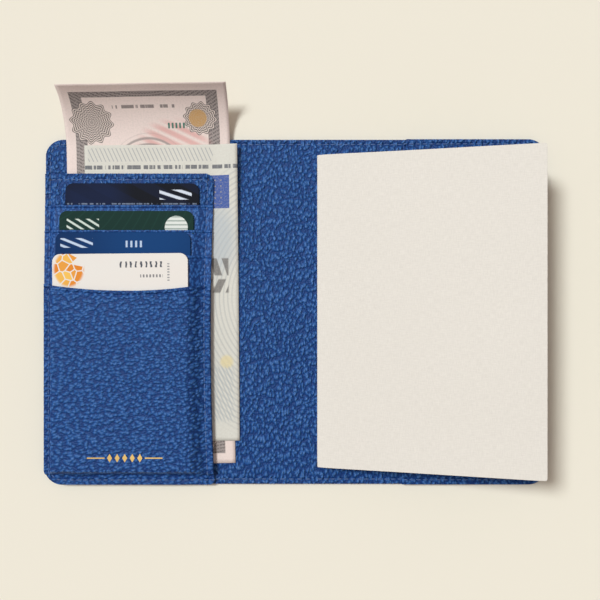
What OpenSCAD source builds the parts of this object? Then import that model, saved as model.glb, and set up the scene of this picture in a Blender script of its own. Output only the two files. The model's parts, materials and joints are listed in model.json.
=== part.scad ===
// Folding passport holder in pebbled leather, lying open.
// +X runs from the card side to the passport side, +Y to the top edge, +Z up.
// The origin is the middle of the spine on the underside, so the holder rests on z = 0.

/* [Cover] */
// Width of the holder lying open
open_w = 203; // [190:1:220]
// Height of the holder
holder_h = 140; // [136:1:150]
// Radius of the four outer corners
corner_r = 7; // [4:0.5:9]
// Width of the spine between its two fold lines
spine_w = 15; // [15:0.5:16]
// Thickness of the outer leather
leather_t = 1.0; // [0.8:0.1:1.4]
// Thickness of the stiffening board
board_t = 0.3; // [0.2:0.1:0.6]
// Thickness of the lining leather
lining_t = 0.7; // [0.5:0.1:1]

/* [Card panel] */
// Free right edge of the card panel, left of the spine
panel_edge_x = 32.5; // [31:0.5:33]
// Height of the card panel's free top edge above the middle
panel_top_y = 56; // [54:0.5:58]
// Height of the top slot's mouth above the middle
first_mouth_y = 43.1; // [42:0.1:45]
// Step down from one slot's mouth to the next
mouth_step = 10.25; // [9.5:0.25:10.5]
// Height of the front pocket's mouth at its ends
pocket_mouth_y = 11.3; // [10:0.1:12]
// How far the front pocket's mouth dips in the middle
mouth_dip = 2.8; // [1:0.1:4]
// Thickness of one leather slot strip
strip_t = 0.4; // [0.3:0.05:0.5]
// Thickness of the fabric behind slots and pockets
fabric_t = 0.2; // [0.15:0.05:0.25]
// Thickness of the front pocket's leather
pocket_t = 0.7; // [0.5:0.1:0.8]

/* [Cards and banknotes] */
// Width of a card
card_w = 53.98; // [53.9:0.01:54.1]
// Length of a card
card_l = 85.6; // [85.4:0.1:85.8]
// Thickness of a card
card_t = 0.76; // [0.7:0.01:0.8]
// Thickness of a banknote, folds and waves included
note_t = 0.15; // [0.1:0.05:0.2]

/* [Passport] */
// Width of the passport's cover
book_w = 88; // [86:0.5:88]
// Height of the passport's cover
book_h = 125; // [123:0.5:126]
// Angle at which the front cover stands when the holder lies open
lift = 15.5; // [10:0.5:20]
// Left edge of the passport pocket's mouth
mouth_x = 44; // [40:0.5:48]

/* [Hidden] */
half_w = open_w / 2;
half_h = holder_h / 2;
fold_x = spine_w / 2;      // fold lines of the spine
fold_gap = 1.1;            // bare leather that bends beside each fold line
side_x = fold_x + fold_gap;
spine_x = fold_x - fold_gap;
arc_steps = 8;
gap = 0.1;                 // play between a loose piece and its slot

// Heights of the cover's layers
board_z = leather_t;
lining_z = leather_t + board_t;
floor_z = lining_z + lining_t;

// Seam along the edge
seam_in = 2;
thread_w = 0.5;
thread_h = 0.25;
thread_play = 0.02;        // room above a thread that lies in its groove
thread_end = 0.5;          // a seam stops this far short of the bending leather
margin = 2.5;              // flat sewn margin on the left edge
margin_slope = 1.9;
foot = 4;                  // flat sewn margin on the bottom edge
foot_slope = 2.8;

// Heights on the card side, from the lining up
large_note_z = floor_z + gap + 0.05;
small_note_z = large_note_z + note_t + gap + 0.05;
panel_z = small_note_z + note_t + gap + 0.05;
panel_top_z = panel_z + fabric_t + strip_t;
slot_pitch = card_t + strip_t + 2 * gap;
slots = 3;
pocket_z = panel_top_z + slots * slot_pitch + card_t + 2 * gap;
strip_overlap = 4.5;       // how far a strip runs down behind the next one

// Middles across, top edges and small tilts of the four cards
card_x = [-65.8, -67.8, -68.9, -69.4];
card_top = [51.9, 40.6, 31.9, 23.3];
card_tilt = [0, 0, 0, 0.5];
card_r = 3.18;
card_colours = ["#15171f", "#28483f", "#10457f", "#f2efe9"];

// Banknotes
large_note = [66.3, 156];
large_note_corner = [-24.3, -61.3];
large_note_tilt = 1;
large_note_curl = [24.5, 27.5]; // radius and length of the lifted end
small_note = [62, 120];
small_note_corner = [-22.6, -52.2];
small_note_tilt = 0.4;

// Heights on the passport side
back_cover_z = floor_z + 0.15;
booklet_cover_t = 0.5;
pocket_fabric_z = back_cover_z + booklet_cover_t + 0.15;
pocket_leather_z = pocket_fabric_z + fabric_t;
pocket_leather_t = 0.8;
fan_z = pocket_leather_z + pocket_leather_t + gap;
leaf_t = 0.35;
leaf_groups = 4;
leaf_pitch = leaf_t + gap;
front_cover_z = fan_z + gap / 2 + leaf_groups * leaf_pitch;
book_y = 0.35;             // middle height of the booklet
book_x = 9;                // outside of the booklet's back
book_spine_t = 0.4;
hinge_x = book_x + book_spine_t;
leaf_start = 0.3;
leaf_inset = 1.2;

leather = "#234b96";
thread_colour = "#5479ba";
fabric = "#1b2f57";

// ---- Outlines -------------------------------------------------------------------------------

// A quarter turn about [cx, cy] from angle a, or the bare point when r is 0.
function corner(cx, cy, r, a) =
    r == 0 ? [[cx, cy]]
           : [for (i = [0 : arc_steps]) let (t = a + 90 * i / arc_steps) [cx + r * cos(t), cy + r * sin(t)]];

// A rectangle whose corner radii r are bottom left, bottom right, top right and top left.
function outline(x0, x1, y0, y1, r = [0, 0, 0, 0]) = concat(
    corner(x0 + r[0], y0 + r[0], r[0], 180), corner(x1 - r[1], y0 + r[1], r[1], 270),
    corner(x1 - r[2], y1 - r[2], r[2], 0), corner(x0 + r[3], y1 - r[3], r[3], 90));

// The right half of the cover, drawn in from its edge.
function half_outline(inset) =
    outline(side_x, half_w - inset, -half_h + inset, half_h - inset,
        [0, corner_r - inset, corner_r - inset, 0]);

module slab(points, z, t) {
    translate([0, 0, z]) linear_extrude(t) polygon(points);
}

module half_slab(inset, z, t) {
    slab(half_outline(inset), z, t);
}

// The seam's line along the right half's three free edges, between two values of x.
module seam_line(x0, x1, z, h = thread_h) {
    translate([0, 0, z]) linear_extrude(h) intersection() {
        difference() {
            polygon(half_outline(seam_in - thread_w / 2));
            polygon(half_outline(seam_in + thread_w / 2));
        }
        translate([x0, -half_h]) square([x1 - x0, holder_h]);
    }
}

// A solid below a stepped roof: its profile across x runs along the whole height,
// and its profile across y along the whole width.
module under_roof(across_x, across_y) {
    intersection() {
        translate([0, half_h, 0]) rotate([90, 0, 0]) linear_extrude(holder_h) polygon(across_x);
        translate([-half_w, 0, 0]) rotate([90, 0, 90]) linear_extrude(open_w) polygon(across_y);
    }
}

// ---- Cover ----------------------------------------------------------------------------------

module outer_half() {
    difference() {
        half_slab(0, 0, leather_t);
        seam_line(side_x, half_w, -thread_play, thread_h + 2 * thread_play);
    }
}

module outer_cover_right() { color(leather) outer_half(); }
module outer_cover_left() { color(leather) mirror([1, 0, 0]) outer_half(); }

module outer_cover_spine() {
    color(leather) difference() {
        slab(outline(-spine_x, spine_x, -half_h, half_h), 0, leather_t);
        spine_seam(-thread_play, spine_x, thread_h + 2 * thread_play);
    }
}

board_in = 4;

module stiffener_right() { color("#c9b48c") half_slab(board_in, board_z, board_t); }
module stiffener_left() { color("#c9b48c") mirror([1, 0, 0]) half_slab(board_in, board_z, board_t); }
module stiffener_spine() {
    color("#c9b48c")
        slab(outline(-spine_x, spine_x, -half_h + board_in, half_h - board_in), board_z, board_t);
}

// The left seam's stretch above the card panel. It lies sunk in the lining, so that notes slide over it.
module sunk_seam(z, x, h = thread_h) {
    intersection() {
        mirror([1, 0, 0]) seam_line(x, half_w, z, h);
        translate([-half_w, panel_top_y, 0]) cube([half_w, half_h, 2 * floor_z]);
    }
}

module lining_right() { color(leather) half_slab(0, lining_z, lining_t); }
module lining_left() {
    color(leather) difference() {
        mirror([1, 0, 0]) half_slab(0, lining_z, lining_t);
        sunk_seam(floor_z - thread_h - thread_play, side_x, thread_h + 2 * thread_play);
    }
}
module lining_spine() {
    color(leather) slab(outline(-spine_x, spine_x, -half_h, half_h), lining_z, lining_t);
}

module spine_seam(z, x, h = thread_h) {
    for (y = [-half_h + seam_in, half_h - seam_in])
        slab(outline(-x, x, y - thread_w / 2, y + thread_w / 2), z, h);
}

module perimeter_thread_spine() {
    color(thread_colour) {
        spine_seam(0, spine_x - thread_end);
        spine_seam(floor_z, spine_x - thread_end);
    }
}

module perimeter_thread_right() {
    color(thread_colour) {
        seam_line(side_x + thread_end, half_w, 0);
        seam_line(side_x + thread_end, mouth_x, floor_z);
        seam_line(mouth_x, half_w, floor_z + fabric_t + pocket_leather_t);
    }
}

// The left seam climbs over each layer of the card panel that it holds.
module perimeter_thread_left() {
    x = -half_w + seam_in;
    color(thread_colour) {
        mirror([1, 0, 0]) seam_line(side_x + thread_end, half_w, 0);
        sunk_seam(floor_z - thread_h, side_x + thread_end);
        for (i = [0 : slots]) {
            top = i == 0 ? panel_top_y : mouth_y(i);
            bottom = i == slots ? pocket_mouth_y : mouth_y(i + 1);
            slab(outline(x - thread_w / 2, x + thread_w / 2, bottom, top),
                left_margin_z(i), thread_h);
        }
        slab(outline(x - thread_w / 2, x + thread_w / 2, -half_h + foot, pocket_mouth_y),
            left_margin_z(slots) + pocket_t, thread_h);
        y = -half_h + seam_in;
        slab(outline(-half_w + corner_r, -panel_edge_x, y - thread_w / 2, y + thread_w / 2),
            floor_z + fabric_t + strip_t + pocket_t, thread_h);
        slab(outline(-panel_edge_x, -side_x - thread_end, y - thread_w / 2, y + thread_w / 2),
            floor_z, thread_h);
    }
}

// ---- Card panel -----------------------------------------------------------------------------

function mouth_y(i) = first_mouth_y - (i - 1) * mouth_step;

// Height of the flat top of layer i on the sewn left margin: 0 is the panel, 1 to 3 the strips.
function left_margin_z(i) = floor_z + fabric_t + strip_t + i * strip_t;

// Height of layer i's underside over the cards, and on the stitched right edge.
function slot_z(i) = panel_top_z + i * slot_pitch - strip_t;
function right_margin_z(i) = panel_top_z + i * strip_t;

edge_slope = 3.2;          // beside the cards, on the right
edge_margin = 2.7;

// Top of a sheet across x: low on the sewn left margin, high over the cards, low on the right.
function roof_x(left_z, mid_z, right_z) = [
    [-half_w, left_z], [-half_w + margin, left_z], [-half_w + margin + margin_slope, mid_z],
    [-panel_edge_x - edge_margin - edge_slope, mid_z], [-panel_edge_x - edge_margin, right_z],
    [-panel_edge_x, right_z]];

function reversed(points) = [for (i = [len(points) - 1 : -1 : 0]) points[i]];
function raised(points, dz) = [for (p = points) p + [0, dz]];

// The region between a roof and z = 0, for under_roof().
function closed_roof(roof) = concat([[roof[0][0], 0]], roof, [[roof[len(roof) - 1][0], 0]]);

function roof_y(low_z, mid_z) = [
    [-half_h, low_z], [-half_h + foot, low_z], [-half_h + foot + foot_slope, mid_z], [half_h, mid_z]];

// A sheet of thickness t that is sewn down along the left and bottom edges.
module sewn_sheet(left_z, mid_z, right_z, foot_z, t) {
    difference() {
        under_roof(closed_roof(raised(roof_x(left_z, mid_z, right_z), t)),
            closed_roof(raised(roof_y(foot_z, mid_z), t)));
        under_roof(closed_roof(roof_x(left_z, mid_z, right_z)), closed_roof(roof_y(foot_z, mid_z)));
    }
}

panel_outline = outline(-half_w, -panel_edge_x, -half_h, panel_top_y, [corner_r, 2, 4, 0]);

module card_panel_lining() {
    color(fabric) intersection() {
        sewn_sheet(floor_z, panel_z, panel_z, floor_z, fabric_t);
        slab(panel_outline, 0, pocket_z);
    }
}

// The seam of the panel's own edges lies 2.4 mm in from them.
panel_seam_x = -panel_edge_x - 2.4;
panel_seam_y = panel_top_y - 2.4;

// Its stretch on the bare panel. It lies sunk in the leather, so that a card slides over it.
module bare_panel_seam(z, h = thread_h) {
    slab(outline(-half_w + corner_r, panel_seam_x, panel_seam_y - thread_w / 2, panel_seam_y + thread_w / 2),
        z, h);
    slab(outline(panel_seam_x, panel_seam_x + thread_w, mouth_y(1), panel_seam_y), z, h);
}

module card_panel() {
    color(leather) difference() {
        intersection() {
            sewn_sheet(floor_z + fabric_t, panel_z + fabric_t, panel_z + fabric_t, floor_z + fabric_t,
                strip_t);
            slab(panel_outline, 0, pocket_z);
        }
        bare_panel_seam(panel_top_z - thread_h - thread_play, thread_h + 2 * thread_play);
    }
}

// The free edge's own seam, from the bare panel down over the strips and the pocket.
module panel_edge_thread() {
    x = panel_seam_x;
    color(thread_colour) {
        bare_panel_seam(panel_top_z - thread_h);
        for (i = [1 : slots]) {
            bottom = i == slots ? pocket_mouth_y : mouth_y(i + 1);
            slab(outline(x, x + thread_w, bottom, mouth_y(i)), right_margin_z(i), thread_h);
        }
        slab(outline(x, x + thread_w, -half_h + foot + foot_slope, pocket_mouth_y),
            right_margin_z(slots) + pocket_t, thread_h);
    }
}

// One leather strip with a slot's mouth along its top edge.
module slot_strip(i) {
    low = roof_x(left_margin_z(i - 1), slot_z(i), right_margin_z(i - 1));
    bottom = (i == slots ? pocket_mouth_y - mouth_dip : mouth_y(i + 1)) - strip_overlap;
    color(leather) translate([0, mouth_y(i), 0]) rotate([90, 0, 0])
        linear_extrude(mouth_y(i) - bottom) polygon(concat(low, reversed(raised(low, strip_t))));
}
module slot_strip_1() { slot_strip(1); }
module slot_strip_2() { slot_strip(2); }
module slot_strip_3() { slot_strip(3); }

tail_w = 57.4;
tail_drop = 0.8;           // below the card that stands in the slot

function tail_bottom(i) = card_top[i - 1] - card_l - tail_drop;

// The fabric that carries a slot down from its strip to the foot of its card.
module slot_tail(i) {
    top = (i == slots ? pocket_mouth_y - mouth_dip : mouth_y(i + 1)) - strip_overlap;
    x = -panel_edge_x - edge_margin - edge_slope;
    color(fabric) slab(outline(x - tail_w, x, tail_bottom(i), top), slot_z(i), fabric_t);
}
module slot_tail_1() { slot_tail(1); }
module slot_tail_2() { slot_tail(2); }
module slot_tail_3() { slot_tail(3); }

// Cross stitches that close each slot at its card's foot.
module slot_tail_thread() {
    x = -panel_edge_x - edge_margin - edge_slope;
    color(thread_colour) for (i = [1 : slots])
        slab(outline(x - tail_w + 1, x - 1, tail_bottom(i) - 0.01, tail_bottom(i) + 0.39),
            slot_z(i) + fabric_t, 0.1);
}

// The front pocket's outline: its mouth dips in one shallow arc.
mouth_half = (half_w - panel_edge_x) / 2;
mouth_r = (pow(mouth_half, 2) + pow(mouth_dip, 2)) / (2 * mouth_dip);
mouth_angle = asin(mouth_half / mouth_r);
mouth_steps = 24;
pocket_outline = concat(
    corner(-half_w + corner_r, -half_h + corner_r, corner_r, 180),
    corner(-panel_edge_x - 2, -half_h + 2, 2, 270),
    [for (i = [0 : mouth_steps]) let (a = mouth_angle * (1 - 2 * i / mouth_steps))
        [-half_w + mouth_half + mouth_r * sin(a), pocket_mouth_y - mouth_dip + mouth_r * (1 - cos(a))]]);

module front_pocket() {
    color(leather) intersection() {
        sewn_sheet(left_margin_z(slots), pocket_z, right_margin_z(slots),
            floor_z + fabric_t + strip_t, pocket_t);
        slab(pocket_outline, 0, 2 * pocket_z);
    }
}

// A small pressed ornament: a row of lozenges between two bars.
ornament_middle = [-67.6, -57.9];
module foil_ornament() {
    color("#ebbe69") translate([ornament_middle[0], ornament_middle[1], pocket_z + pocket_t]) {
        for (x = [-6 : 3 : 6])
            translate([x, 0, 0]) linear_extrude(0.05) polygon([[-1, 0], [0, -1.7], [1, 0], [0, 1.7]]);
        for (side = [-1, 1])
            translate([side * 11.5 - 3.5, -0.25, 0]) cube([7, 0.5, 0.05]);
    }
}

// ---- Cards and banknotes --------------------------------------------------------------------

module card(i) {
    color(card_colours[i - 1])
        translate([card_x[i - 1], card_top[i - 1] - card_l / 2, panel_top_z + gap + (i - 1) * slot_pitch])
        rotate([0, 0, card_tilt[i - 1]])
        linear_extrude(card_t) polygon(outline(-card_w / 2, card_w / 2, -card_l / 2, card_l / 2,
            [card_r, card_r, card_r, card_r]));
}
module card_1() { card(1); }
module card_2() { card(2); }
module card_3() { card(3); }
module card_4() { card(4); }

// An arc that starts level at [start, 0] and bends up with radius bend, drawn at radius r.
curl_steps = 12;
function curl(start, bend, sweep, r) = [for (i = [0 : curl_steps]) let (a = sweep * i / curl_steps)
    [start + r * sin(a), bend - r * cos(a)]];

// The large note's profile along its length: flat, then one arc up to the free end.
function note_profile(l, bend) = let (start = l - bend[1], sweep = bend[1] / bend[0] * 180 / PI)
    concat([[0, 0]], curl(start, bend[0], sweep, bend[0]),
        reversed(curl(start, bend[0], sweep, bend[0] - note_t)), [[0, note_t]]);

// Lays a note with its lower right corner at a point, turned about it.
module lay_note(width, right_corner, z, tilt) {
    translate([right_corner[0], right_corner[1], z]) rotate([0, 0, tilt]) translate([-width, 0, 0])
        children();
}

module banknote_large() {
    color("#dccfc6")
        lay_note(large_note[0], large_note_corner, large_note_z, large_note_tilt)
        rotate([90, 0, 90]) linear_extrude(large_note[0])
        polygon(note_profile(large_note[1], large_note_curl));
}

module banknote_small() {
    color("#e2e2da")
        lay_note(small_note[0], small_note_corner, small_note_z, small_note_tilt)
        cube([small_note[0], small_note[1], note_t]);
}

// ---- Passport side --------------------------------------------------------------------------

pocket_margin = 3.2;       // flat sewn margin on the right edge
pocket_foot = 4.4;         // the same on the top and bottom edges
pocket_slope = 1.2;

// A sheet of thickness t that is sewn down on its top, right and bottom edges.
module pocket_sheet(edge_z, mid_z, t) {
    x = half_w - pocket_margin;
    y = half_h - pocket_foot;
    function across_x(dz) = closed_roof([[mouth_x, mid_z + dz], [x - pocket_slope, mid_z + dz],
        [x, edge_z + dz], [half_w, edge_z + dz]]);
    function across_y(dz) = closed_roof([[-half_h, edge_z + dz], [-y, edge_z + dz],
        [-y + pocket_slope, mid_z + dz], [y - pocket_slope, mid_z + dz], [y, edge_z + dz], [half_h, edge_z + dz]]);
    intersection() {
        difference() {
            under_roof(across_x(t), across_y(t));
            under_roof(across_x(0), across_y(0));
        }
        slab(outline(mouth_x, half_w, -half_h, half_h, [0, corner_r, corner_r, 0]), 0, pocket_z);
    }
}

module passport_pocket_lining() { color(fabric) pocket_sheet(floor_z, pocket_fabric_z, fabric_t); }
module passport_pocket() {
    color(leather) pocket_sheet(floor_z + fabric_t, pocket_leather_z, pocket_leather_t);
}

book_y0 = book_y - book_h / 2;
book_y1 = book_y + book_h / 2;

module passport_back_cover() {
    color("#eae6df") slab(outline(hinge_x, book_x + book_w, book_y0, book_y1, [0, 3, 3, 0]),
        back_cover_z, booklet_cover_t);
}

module passport_spine() {
    color("#e4ded3") slab(outline(book_x, hinge_x, book_y0, book_y1), back_cover_z, fan_z - back_cover_z - gap / 2);
}

// A leaf or cover drawn lying flat and turned up about the booklet's back by an angle.
module raised_leaf(angle, z, t, inset) {
    translate([hinge_x, 0, fan_z]) rotate([0, -angle, 0]) translate([-hinge_x, 0, -fan_z])
        slab(outline(hinge_x + leaf_start, book_x + book_w - inset, book_y0 + inset, book_y1 - inset,
            [0, 3, 3, 0]), z, t);
}

// The leaves fan out evenly, and the last group lies against the front cover.
module pages(i) {
    color("#f3efe6")
        raised_leaf(lift * i / leaf_groups, fan_z + gap / 2 + (i - 1) * leaf_pitch, leaf_t, leaf_inset);
}
module passport_pages_1() { pages(1); }
module passport_pages_2() { pages(2); }
module passport_pages_3() { pages(3); }
module passport_pages_4() { pages(4); }

module passport_front_cover() { color("#eae6df") raised_leaf(lift, front_cover_z, booklet_cover_t, 0); }

// ---- Nodes ----------------------------------------------------------------------------------

outer_cover_left();
outer_cover_spine();
outer_cover_right();
stiffener_left();
stiffener_spine();
stiffener_right();
lining_left();
lining_spine();
lining_right();
perimeter_thread_left();
perimeter_thread_spine();
perimeter_thread_right();
card_panel_lining();
card_panel();
panel_edge_thread();
slot_strip_1();
slot_strip_2();
slot_strip_3();
slot_tail_1();
slot_tail_2();
slot_tail_3();
slot_tail_thread();
front_pocket();
foil_ornament();
passport_pocket();
passport_pocket_lining();
card_1();
card_2();
card_3();
card_4();
banknote_large();
banknote_small();
passport_back_cover();
passport_spine();
passport_pages_1();
passport_pages_2();
passport_pages_3();
passport_pages_4();
passport_front_cover();
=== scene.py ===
"""Looks for a bifold passport holder in pebbled blue leather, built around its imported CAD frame."""

from __future__ import annotations

import json
import logging
import math
from collections.abc import Callable
from dataclasses import dataclass, field
from enum import Enum

import bpy
import numpy as np
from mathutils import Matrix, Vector


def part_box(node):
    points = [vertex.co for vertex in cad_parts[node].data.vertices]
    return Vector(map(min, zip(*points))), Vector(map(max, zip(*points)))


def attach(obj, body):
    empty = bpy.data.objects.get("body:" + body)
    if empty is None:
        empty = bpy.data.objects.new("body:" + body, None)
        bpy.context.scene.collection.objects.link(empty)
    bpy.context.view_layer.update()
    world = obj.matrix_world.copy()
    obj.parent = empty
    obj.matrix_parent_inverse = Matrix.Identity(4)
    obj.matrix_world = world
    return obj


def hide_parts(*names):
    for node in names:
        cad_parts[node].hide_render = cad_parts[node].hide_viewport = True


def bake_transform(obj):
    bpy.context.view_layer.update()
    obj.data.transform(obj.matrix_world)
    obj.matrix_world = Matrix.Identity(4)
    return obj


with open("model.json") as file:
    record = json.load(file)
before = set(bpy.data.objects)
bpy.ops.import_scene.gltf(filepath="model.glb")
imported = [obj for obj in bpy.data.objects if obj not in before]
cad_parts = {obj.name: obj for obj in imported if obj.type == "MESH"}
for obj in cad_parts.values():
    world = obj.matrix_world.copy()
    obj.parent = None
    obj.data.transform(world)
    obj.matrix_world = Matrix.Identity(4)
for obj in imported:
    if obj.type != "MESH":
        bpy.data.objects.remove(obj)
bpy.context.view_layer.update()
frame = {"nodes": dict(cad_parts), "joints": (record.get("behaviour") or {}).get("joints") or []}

LOG = logging.getLogger("passport_holder")
MM = 0.001
FLAT_MAP = "flat"
PANEL_FALL = (3.8, 6.9)

Height = Callable[[np.ndarray, np.ndarray], np.ndarray]
Place = tuple[float, float]
Point = tuple[float, float, float]


# ---- Numbers ------------------------------------------------------------------------------------


def smooth(t: np.ndarray) -> np.ndarray:
    """Returns the smooth step of t from 0 to 1."""
    t = np.clip(t, 0.0, 1.0)
    return t * t * (3.0 - 2.0 * t)


def waves(x: np.ndarray, y: np.ndarray, length: float, seed: int, terms: int = 7) -> np.ndarray:
    """A smooth, irregular field between 0 and 1.

    Args:
        x: Places across, in millimetres.
        y: Places along, in millimetres.
        length: Usual length of a wave, in millimetres.
        seed: Number that picks the pattern.
        terms: How many sine waves are added.

    Returns:
        The field at each place.
    """
    rng = np.random.default_rng(seed)
    total = np.zeros(np.broadcast(x, y).shape)
    for _ in range(terms):
        angle, phase = rng.uniform(0, 2 * math.pi, 2)
        k = 2 * math.pi / (length * rng.uniform(0.6, 1.6))
        total = total + np.sin(k * (x * math.cos(angle) + y * math.sin(angle)) + phase)
    return np.clip(0.5 + total / (2.2 * math.sqrt(terms)), 0.0, 1.0)


def spaced(low: float, high: float, step: float, zones: tuple[tuple[float, float], ...] = ()) -> np.ndarray:
    """Stations from low to high, close together at both ends and in some zones.

    Args:
        low: First station.
        high: Last station.
        step: Distance between stations elsewhere.
        zones: Starts and ends of the stretches with a seam, a crease or a fold.

    Returns:
        The stations in rising order.
    """
    rim, fine = 0.5, 0.24
    ends = rim * np.array([0.0, 0.12, 0.3, 0.6])
    first, last = low + rim, high - rim
    cuts = sorted({first, last, *(float(np.clip(c, first, last)) for zone in zones for c in zone)})
    runs = []
    for start, end in zip(cuts, cuts[1:]):
        middle = (start + end) / 2
        inside = any(a <= middle <= b for a, b in zones)
        count = max(1, round((end - start) / (fine if inside else step)))
        runs.append(np.linspace(start, end, count + 1)[:-1])
    return np.concatenate([low + ends, *runs, [last], (high - ends)[::-1]])


def box_mm(node: str) -> tuple[np.ndarray, np.ndarray]:
    """Returns a CAD node's lowest and highest corner, in millimetres."""
    low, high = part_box(node)
    return np.array(low) / MM, np.array(high) / MM


# ---- Meshes -------------------------------------------------------------------------------------


def make_object(name: str, verts: np.ndarray, faces: list, material: bpy.types.Material) -> bpy.types.Object:
    """Makes a smooth-shaded mesh object.

    Args:
        name: Name of the piece.
        verts: Corners in millimetres, one row each.
        faces: Lists of corner numbers.
        material: Finish of the whole piece.

    Returns:
        The new object, at the origin.
    """
    mesh = bpy.data.meshes.new(name)
    mesh.from_pydata((np.asarray(verts) * MM).tolist(), [], faces)
    mesh.materials.append(material)
    mesh.shade_smooth()
    mesh.update()
    made = bpy.data.objects.new(name, mesh)
    bpy.context.collection.objects.link(made)
    return made


def lay_flat_map(piece: bpy.types.Object, flat: np.ndarray) -> None:
    """Stores each corner's place on the flat sheet, in millimetres, as the piece's own map.

    Args:
        piece: The piece.
        flat: Two numbers for each of its corners.
    """
    mesh = piece.data
    corner = np.empty(len(mesh.loops), dtype=np.int32)
    mesh.loops.foreach_get("vertex_index", corner)
    layer = mesh.uv_layers.new(name=FLAT_MAP)
    layer.data.foreach_set("uv", np.asarray(flat, dtype=np.float32)[corner].ravel())


def grid_faces(nx: int, ny: int) -> list:
    """Faces of a thin sheet of nx by ny stations: its top, its underside and its four walls.

    Args:
        nx: Stations across.
        ny: Stations along.

    Returns:
        Lists of corner numbers, all facing outwards. The underside is numbered after the top.
    """
    index = np.arange(nx * ny).reshape(nx, ny)
    a, b, c, d = index[:-1, :-1], index[1:, :-1], index[1:, 1:], index[:-1, 1:]
    top = np.stack([a, b, c, d], axis=-1).reshape(-1, 4)
    under = top[:, ::-1] + nx * ny
    walls = []
    edges = ((index[:, 0], False), (index[:, -1], True), (index[0, :], True), (index[-1, :], False))
    for edge, turned in edges:
        wall = np.stack([edge[:-1], edge[:-1] + nx * ny, edge[1:] + nx * ny, edge[1:]], axis=-1)
        walls.append(wall[:, ::-1] if turned else wall)
    return np.concatenate([top, under, *walls]).tolist()


@dataclass
class Outline:
    """A sheet's outline: straight sides with rounded corners, in millimetres.

    The corners are bottom left, bottom right, top right and top left.
    """

    x0: float
    x1: float
    y0: float
    y1: float
    corners: tuple[float, float, float, float] = (0.0, 0.0, 0.0, 0.0)

    def ends(self, x: np.ndarray) -> tuple[np.ndarray, np.ndarray]:
        """The lowest and highest y of the sheet at each x.

        Args:
            x: Places across the sheet.

        Returns:
            Two arrays like x.
        """

        def cut(radius: float, from_edge: np.ndarray) -> np.ndarray:
            inside = np.clip(radius - from_edge, 0.0, radius)
            return radius - np.sqrt(np.maximum(radius**2 - inside**2, 0.0))

        left, right = x - self.x0, self.x1 - x
        bl, br, tr, tl = self.corners
        return self.y0 + cut(bl, left) + cut(br, right), self.y1 - cut(tl, left) - cut(tr, right)


@dataclass
class Sheet:
    """A thin sheet that follows a height over its outline, with rounded edges."""

    name: str
    outline: Outline
    height: Height
    thickness: float
    step: float = 0.8
    open_left: bool = False
    open_right: bool = False
    mouth: Callable[[np.ndarray], np.ndarray] | None = None
    map_shift: tuple[float, float] = (0.0, 0.0)
    under: Height | None = None
    fine_across: tuple[tuple[float, float], ...] = ()
    fine_along: tuple[tuple[float, float], ...] = ()
    warp: Height | None = None

    def build(self, material: bpy.types.Material) -> bpy.types.Object:
        """Builds the closed sheet.

        Args:
            material: Its finish.

        Returns:
            The piece, with its flat map.
        """
        o = self.outline
        across = spaced(o.x0, o.x1, self.step, self.fine_across)
        low, high = o.ends(across)
        if self.mouth is not None:
            high = np.minimum(high, self.mouth(across))
        share = (spaced(o.y0, o.y1, self.step, self.fine_along) - o.y0) / (o.y1 - o.y0)
        x = np.repeat(across[:, None], len(share), axis=1)
        y = low[:, None] + (high - low)[:, None] * share
        z = self.height(x, y)
        under = z - self.thickness if self.under is None else self.under(x, y)
        nose = 0.48 * (z - under)
        edge = np.minimum(y - low[:, None], high[:, None] - y)
        if not self.open_left:
            edge = np.minimum(edge, x - o.x0)
        if not self.open_right:
            edge = np.minimum(edge, o.x1 - x)
        fall = nose - np.sqrt(np.maximum(nose**2 - np.clip(nose - edge, 0.0, nose) ** 2, 0.0))
        placed = x if self.warp is None else self.warp(x, y)
        top = np.stack([placed, y, z - fall], axis=-1).reshape(-1, 3)
        bottom = np.stack([placed, y, under + fall], axis=-1).reshape(-1, 3)
        piece = make_object(self.name, np.concatenate([top, bottom]), grid_faces(*x.shape), material)
        flat = np.stack([x + self.map_shift[0], y + self.map_shift[1]], axis=-1).reshape(-1, 2)
        lay_flat_map(piece, np.concatenate([flat, flat]))
        return piece


@dataclass
class Layer:
    """Heights of a sewn sheet's top: low on its sewn margins and high over what lies below it."""

    middle: float
    left: float | None = None
    right: float | None = None
    foot: float | None = None
    head: float | None = None
    left_rise: tuple[float, float] = (0.0, 1.0)
    right_rise: tuple[float, float] = (0.0, 1.0)
    foot_rise: tuple[float, float] = (0.0, 1.0)
    head_rise: tuple[float, float] = (0.0, 1.0)

    def __call__(self, x: np.ndarray, y: np.ndarray) -> np.ndarray:
        """The height of the sheet's top.

        Args:
            x: Places across.
            y: Places along.

        Returns:
            Heights in millimetres.
        """
        z = np.full(np.broadcast(x, y).shape, self.middle, dtype=float)
        sides = (
            (self.left, x, self.left_rise),
            (self.right, -x, self.right_rise),
            (self.foot, y, self.foot_rise),
            (self.head, -y, self.head_rise),
        )
        for low, place, (start, end) in sides:
            if low is not None:
                z = np.minimum(z, low + (self.middle - low) * smooth((place - start) / (end - start)))
        return z


# ---- Node trees ---------------------------------------------------------------------------------


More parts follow.
